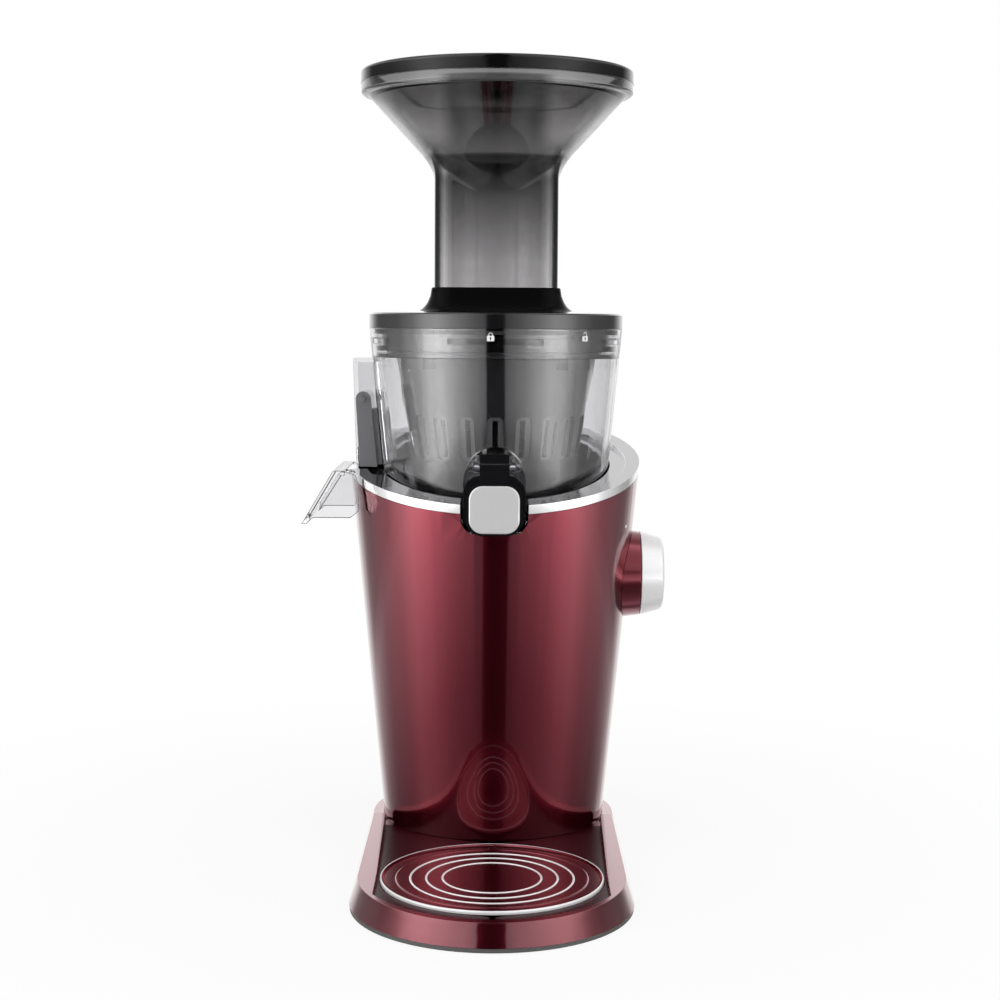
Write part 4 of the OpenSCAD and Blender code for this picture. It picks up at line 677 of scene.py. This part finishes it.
# ---- smooth flare over the lid's collar: height over the lid's ring, and mm out from the chute ----
collar = {"below": 1.7, "gap": 0.05, "inside": 0.32, "insideLevels": (15.2, 12, 6, 1.8), "under": 8.0}
flare = ((0.12, 12.7), (0.5, 11.4), (1.1, 9.95), (1.8, 8.5), (2.6, 7.15), (3.8, 5.9), (5.1, 4.85),
         (6.5, 3.95), (8.4, 3.1), (10.4, 2.3), (12.6, 1.95), (14.2, 1.72), (14.9, 1.5), (15.2, 1.15))
ringTop = chuteFoot - collar["below"]
collarRings = [chuteRing(ringTop + z, out + collar["gap"]) for z, out in flare]
collarRings += [chuteRing(ringTop + z, collar["inside"]) for z in collar["insideLevels"]]
collarRings += [chuteRing(ringTop + flare[0][0], collar["under"])]
loftPiece("lidCollar", "lid", "black_gloss", collarRings, "black_plain", 60)
print("shaped lidCollar")

# ---- smooth face over the lid's shallow cone ----
lidTop = {"in": 43, "rise": 1.7, "slope": 28.5, "edge": 1.5, "inset": 0.3, "sunk": 0.2, "lip": 0.1,
          "over": 0.08}
lidOut = boxOf("lid")[1][0] - lidTop["edge"]
lidEdge = lidOut - lidTop["inset"]
coneZ = ringTop + lidTop["rise"] + lidTop["over"]
lidFace = [(lidTop["in"], ringTop - lidTop["sunk"]), (lidEdge, ringTop - lidTop["sunk"]),
           (lidEdge, ringTop + lidTop["lip"]), (lidOut - lidTop["slope"], coneZ), (lidTop["in"], coneZ)]
spunPiece("lidTop", "lid", "black_gloss", lidFace, angle=8)
print("shaped lidTop")

# ---- tray disc, its bright edge and trims, whose near-white is partly chrome and partly painted highlight ----
trims = {"radii": (26.9, 35.8, 44.5), "half": 0.62, "height": 0.42, "sunk": 0.2, "steps": 128}
faintRing = {"radius": 52.0, "half": 0.8, "height": 0.5}
tray = {"edgeTall": 0.8, "middle": 0.001, "gap": 0.05, "edgeSteps": 192}
trayLow, trayHigh = boxOf("cup_tray")
ringLow, ringHigh = boxOf("tray_ring")
trayMid = ((trayLow[0] + trayHigh[0]) / 2, (trayLow[1] + trayHigh[1]) / 2)
trayOut = (ringHigh[0] - ringLow[0]) / 2
trayIn = (trayHigh[0] - trayLow[0]) / 2
flat = trayHigh[2] - tray["edgeTall"]              # the disc's face
crest = ringHigh[2]                                # the top of its edge


def bead(radius, half, height):
    return [(radius + half * cos(pi * k / 8), flat + height * sin(pi * k / 8)) for k in range(9)]


disc = [(tray["middle"], trayLow[2]), (trayIn, trayLow[2]), (trayIn, flat)]
disc += bead(faintRing["radius"], faintRing["half"], faintRing["height"]) + [(tray["middle"], flat)]
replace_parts(spunPiece("cupTray", "tray", "wine_lacquer", disc, centre=trayMid), "cup_tray")
edgeProfile = ((0, 1.1), (0.2, 0.5), (0.55, 0.12), (0.9, 0), (1.2, 0.1))      # mm in, and down from the crest
edge = [(trayIn + tray["gap"], ringLow[2]), (trayOut, ringLow[2])]
edge += [(trayOut - inset, crest - down) for inset, down in edgeProfile]
edge += [(trayOut - edgeProfile[-1][0], flat - 0.1), (trayIn + tray["gap"], flat - 0.1)]
paintedHighlightEdge = spunPiece("trayRing", "tray", "bright_chrome", edge, centre=trayMid, steps=tray["edgeSteps"])
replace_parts(paintedHighlightEdge, "tray_ring")
inner = [(trayIn + 0.1, flat - 0.4), (trayOut - 1.25, flat - 0.4), (trayOut - 1.25, crest - 0.14),
         (trayOut - 1.7, crest - 0.4), (trayOut - 2.2, crest - 1.0), (trayIn + 0.1, flat + 0.05)]
spunPiece("trayRim", "tray", "wine_lacquer", inner, centre=trayMid, steps=tray["edgeSteps"])
# white rings over the disc's beads: painted highlight
for i, radius in enumerate(trims["radii"]):
    foot = flat - trims["sunk"]
    trim = bead(radius, trims["half"], trims["height"])
    trim += [(radius - trims["half"], foot), (radius + trims["half"], foot)]
    spunPiece("trayTrim%d" % (i + 1), "tray", "bright_chrome", trim, centre=trayMid, steps=trims["steps"])
print("shaped tray")

# ---- painted shade: a very dark sheet over the recess floor about the tray ----
recess = {"front": 71.5, "half": 62.4, "widen": 0.02025, "body": 67.7, "rear": 116, "floor": 14.0,
          "sunk": 0.1, "over": 0.04, "gap": 0.4, "steps": 160}


def recessReach(angle):                # distance from the tray's middle to the edge of the recess
    across, back = abs(sin(angle)), cos(angle)
    reach = recess["half"] / max(across - recess["widen"] * max(back, 0), 1e-6)
    ahead = -trayMid[1]
    if back < 0:
        return min(reach, recess["front"])
    inside = (back * ahead) ** 2 - ahead ** 2 + recess["body"] ** 2
    if inside > 0:
        reach = min(reach, back * ahead - inside ** 0.5)
    return min(reach, recess["rear"] / max(back, 1e-6))


def recessRing(z, reachOf):
    angles = [2 * pi * i / recess["steps"] for i in range(recess["steps"])]
    return [(trayMid[0] + reachOf(a) * sin(a), trayMid[1] + reachOf(a) * cos(a), z) for a in angles]


def aboutTray(angle):
    return trayOut + recess["gap"]


shadeFoot = recess["floor"] - recess["sunk"]
shadeTop = recess["floor"] + recess["over"]
shadeRings = [recessRing(shadeFoot, aboutTray), recessRing(shadeTop, aboutTray),
               recessRing(shadeTop, recessReach), recessRing(shadeFoot, recessReach)]
loftPiece("recessPaintedShade", "root", "wine_lacquer", shadeRings, "wine_painted_shade", 30)
print("shaped recessPaintedShade")

# ---- printed padlocks on the bowl's collar ----
marks = {"front": 75.9, "proud": 0.06, "z": 305.0, "depth": 0.25, "holeProud": 0.04,
         "turns": {"lockShut": -2.1, "lockOpen": 42.6}}


def flatPiece(name, body, slot, outline, depth, place, paint):
    bm = bmesh.new()
    face = bm.faces.new([bm.verts.new((x, 0, z)) for x, z in outline])
    made = bmesh.ops.extrude_face_region(bm, geom=[face])
    backVerts = [v for v in made["geom"] if isinstance(v, bmesh.types.BMVert)]
    bmesh.ops.translate(bm, vec=(0, depth, 0), verts=backVerts)
    return finishPiece(bm, name, body, slot, paint=paint, place=toFrame @ place)


def turned(degreesRound, front, z):    # a place on the outside, facing outward
    return Matrix.Rotation(radians(degreesRound), 4, "Z") @ Matrix.Translation((0, -front, z))


def arcPoints(cx, cz, r, start, stop, count):
    angles = [radians(start + (stop - start) * i / count) for i in range(count + 1)]
    return [(cx + r * cos(a), cz + r * sin(a)) for a in angles]


def padlock(name, place, opened):
    body = [(-2.1, 0.25), (-1.85, 0), (1.85, 0), (2.1, 0.25), (2.1, 2.75), (1.85, 3.0), (-1.85, 3.0),
            (-2.1, 2.75)]
    rise, foot = (0.55, 4.05) if opened else (0, 3.0)
    bow = [(1.35, 3.0)] + arcPoints(0, 3.6 + rise, 1.35, 0, 180, 12) + [(-1.35, foot), (-0.75, foot)]
    bow += arcPoints(0, 3.6 + rise, 0.75, 180, 0, 12) + [(0.75, 3.0)]
    hole = arcPoints(0, 1.75, 0.5, -50, 230, 12) + [(-0.3, 0.7), (0.3, 0.7)]
    inFront = place @ Matrix.Translation((0, -marks["holeProud"], 0))
    flatPiece(name + "Body", "bowl", "smoky_clear", body, marks["depth"], place, "print_white")
    flatPiece(name + "Bow", "bowl", "smoky_clear", bow, marks["depth"], place, "print_white")
    flatPiece(name + "Hole", "bowl", "smoky_clear", hole, marks["depth"], inFront, "black_rim")


for markName, turn in marks["turns"].items():
    padlock(markName, turned(turn, marks["front"] + marks["proud"], marks["z"]), markName == "lockOpen")

# ---- dot beside the dial ----
dot = {"turn": 67.5, "z": 195.6, "r": 1.0, "body": 84.25, "proud": 0.12, "lean": 5.4, "depth": 0.2}
dotPlace = turned(dot["turn"], dot["body"] + dot["proud"], dot["z"])
dotPlace = dotPlace @ Matrix.Rotation(radians(dot["lean"]), 4, "X")
dotOutline = arcPoints(0, 0, dot["r"], 0, 345, 23)
flatPiece("dialDot", "root", "satin_silver", dotOutline, dot["depth"], dotPlace, "print_white")
print("shaped marks")
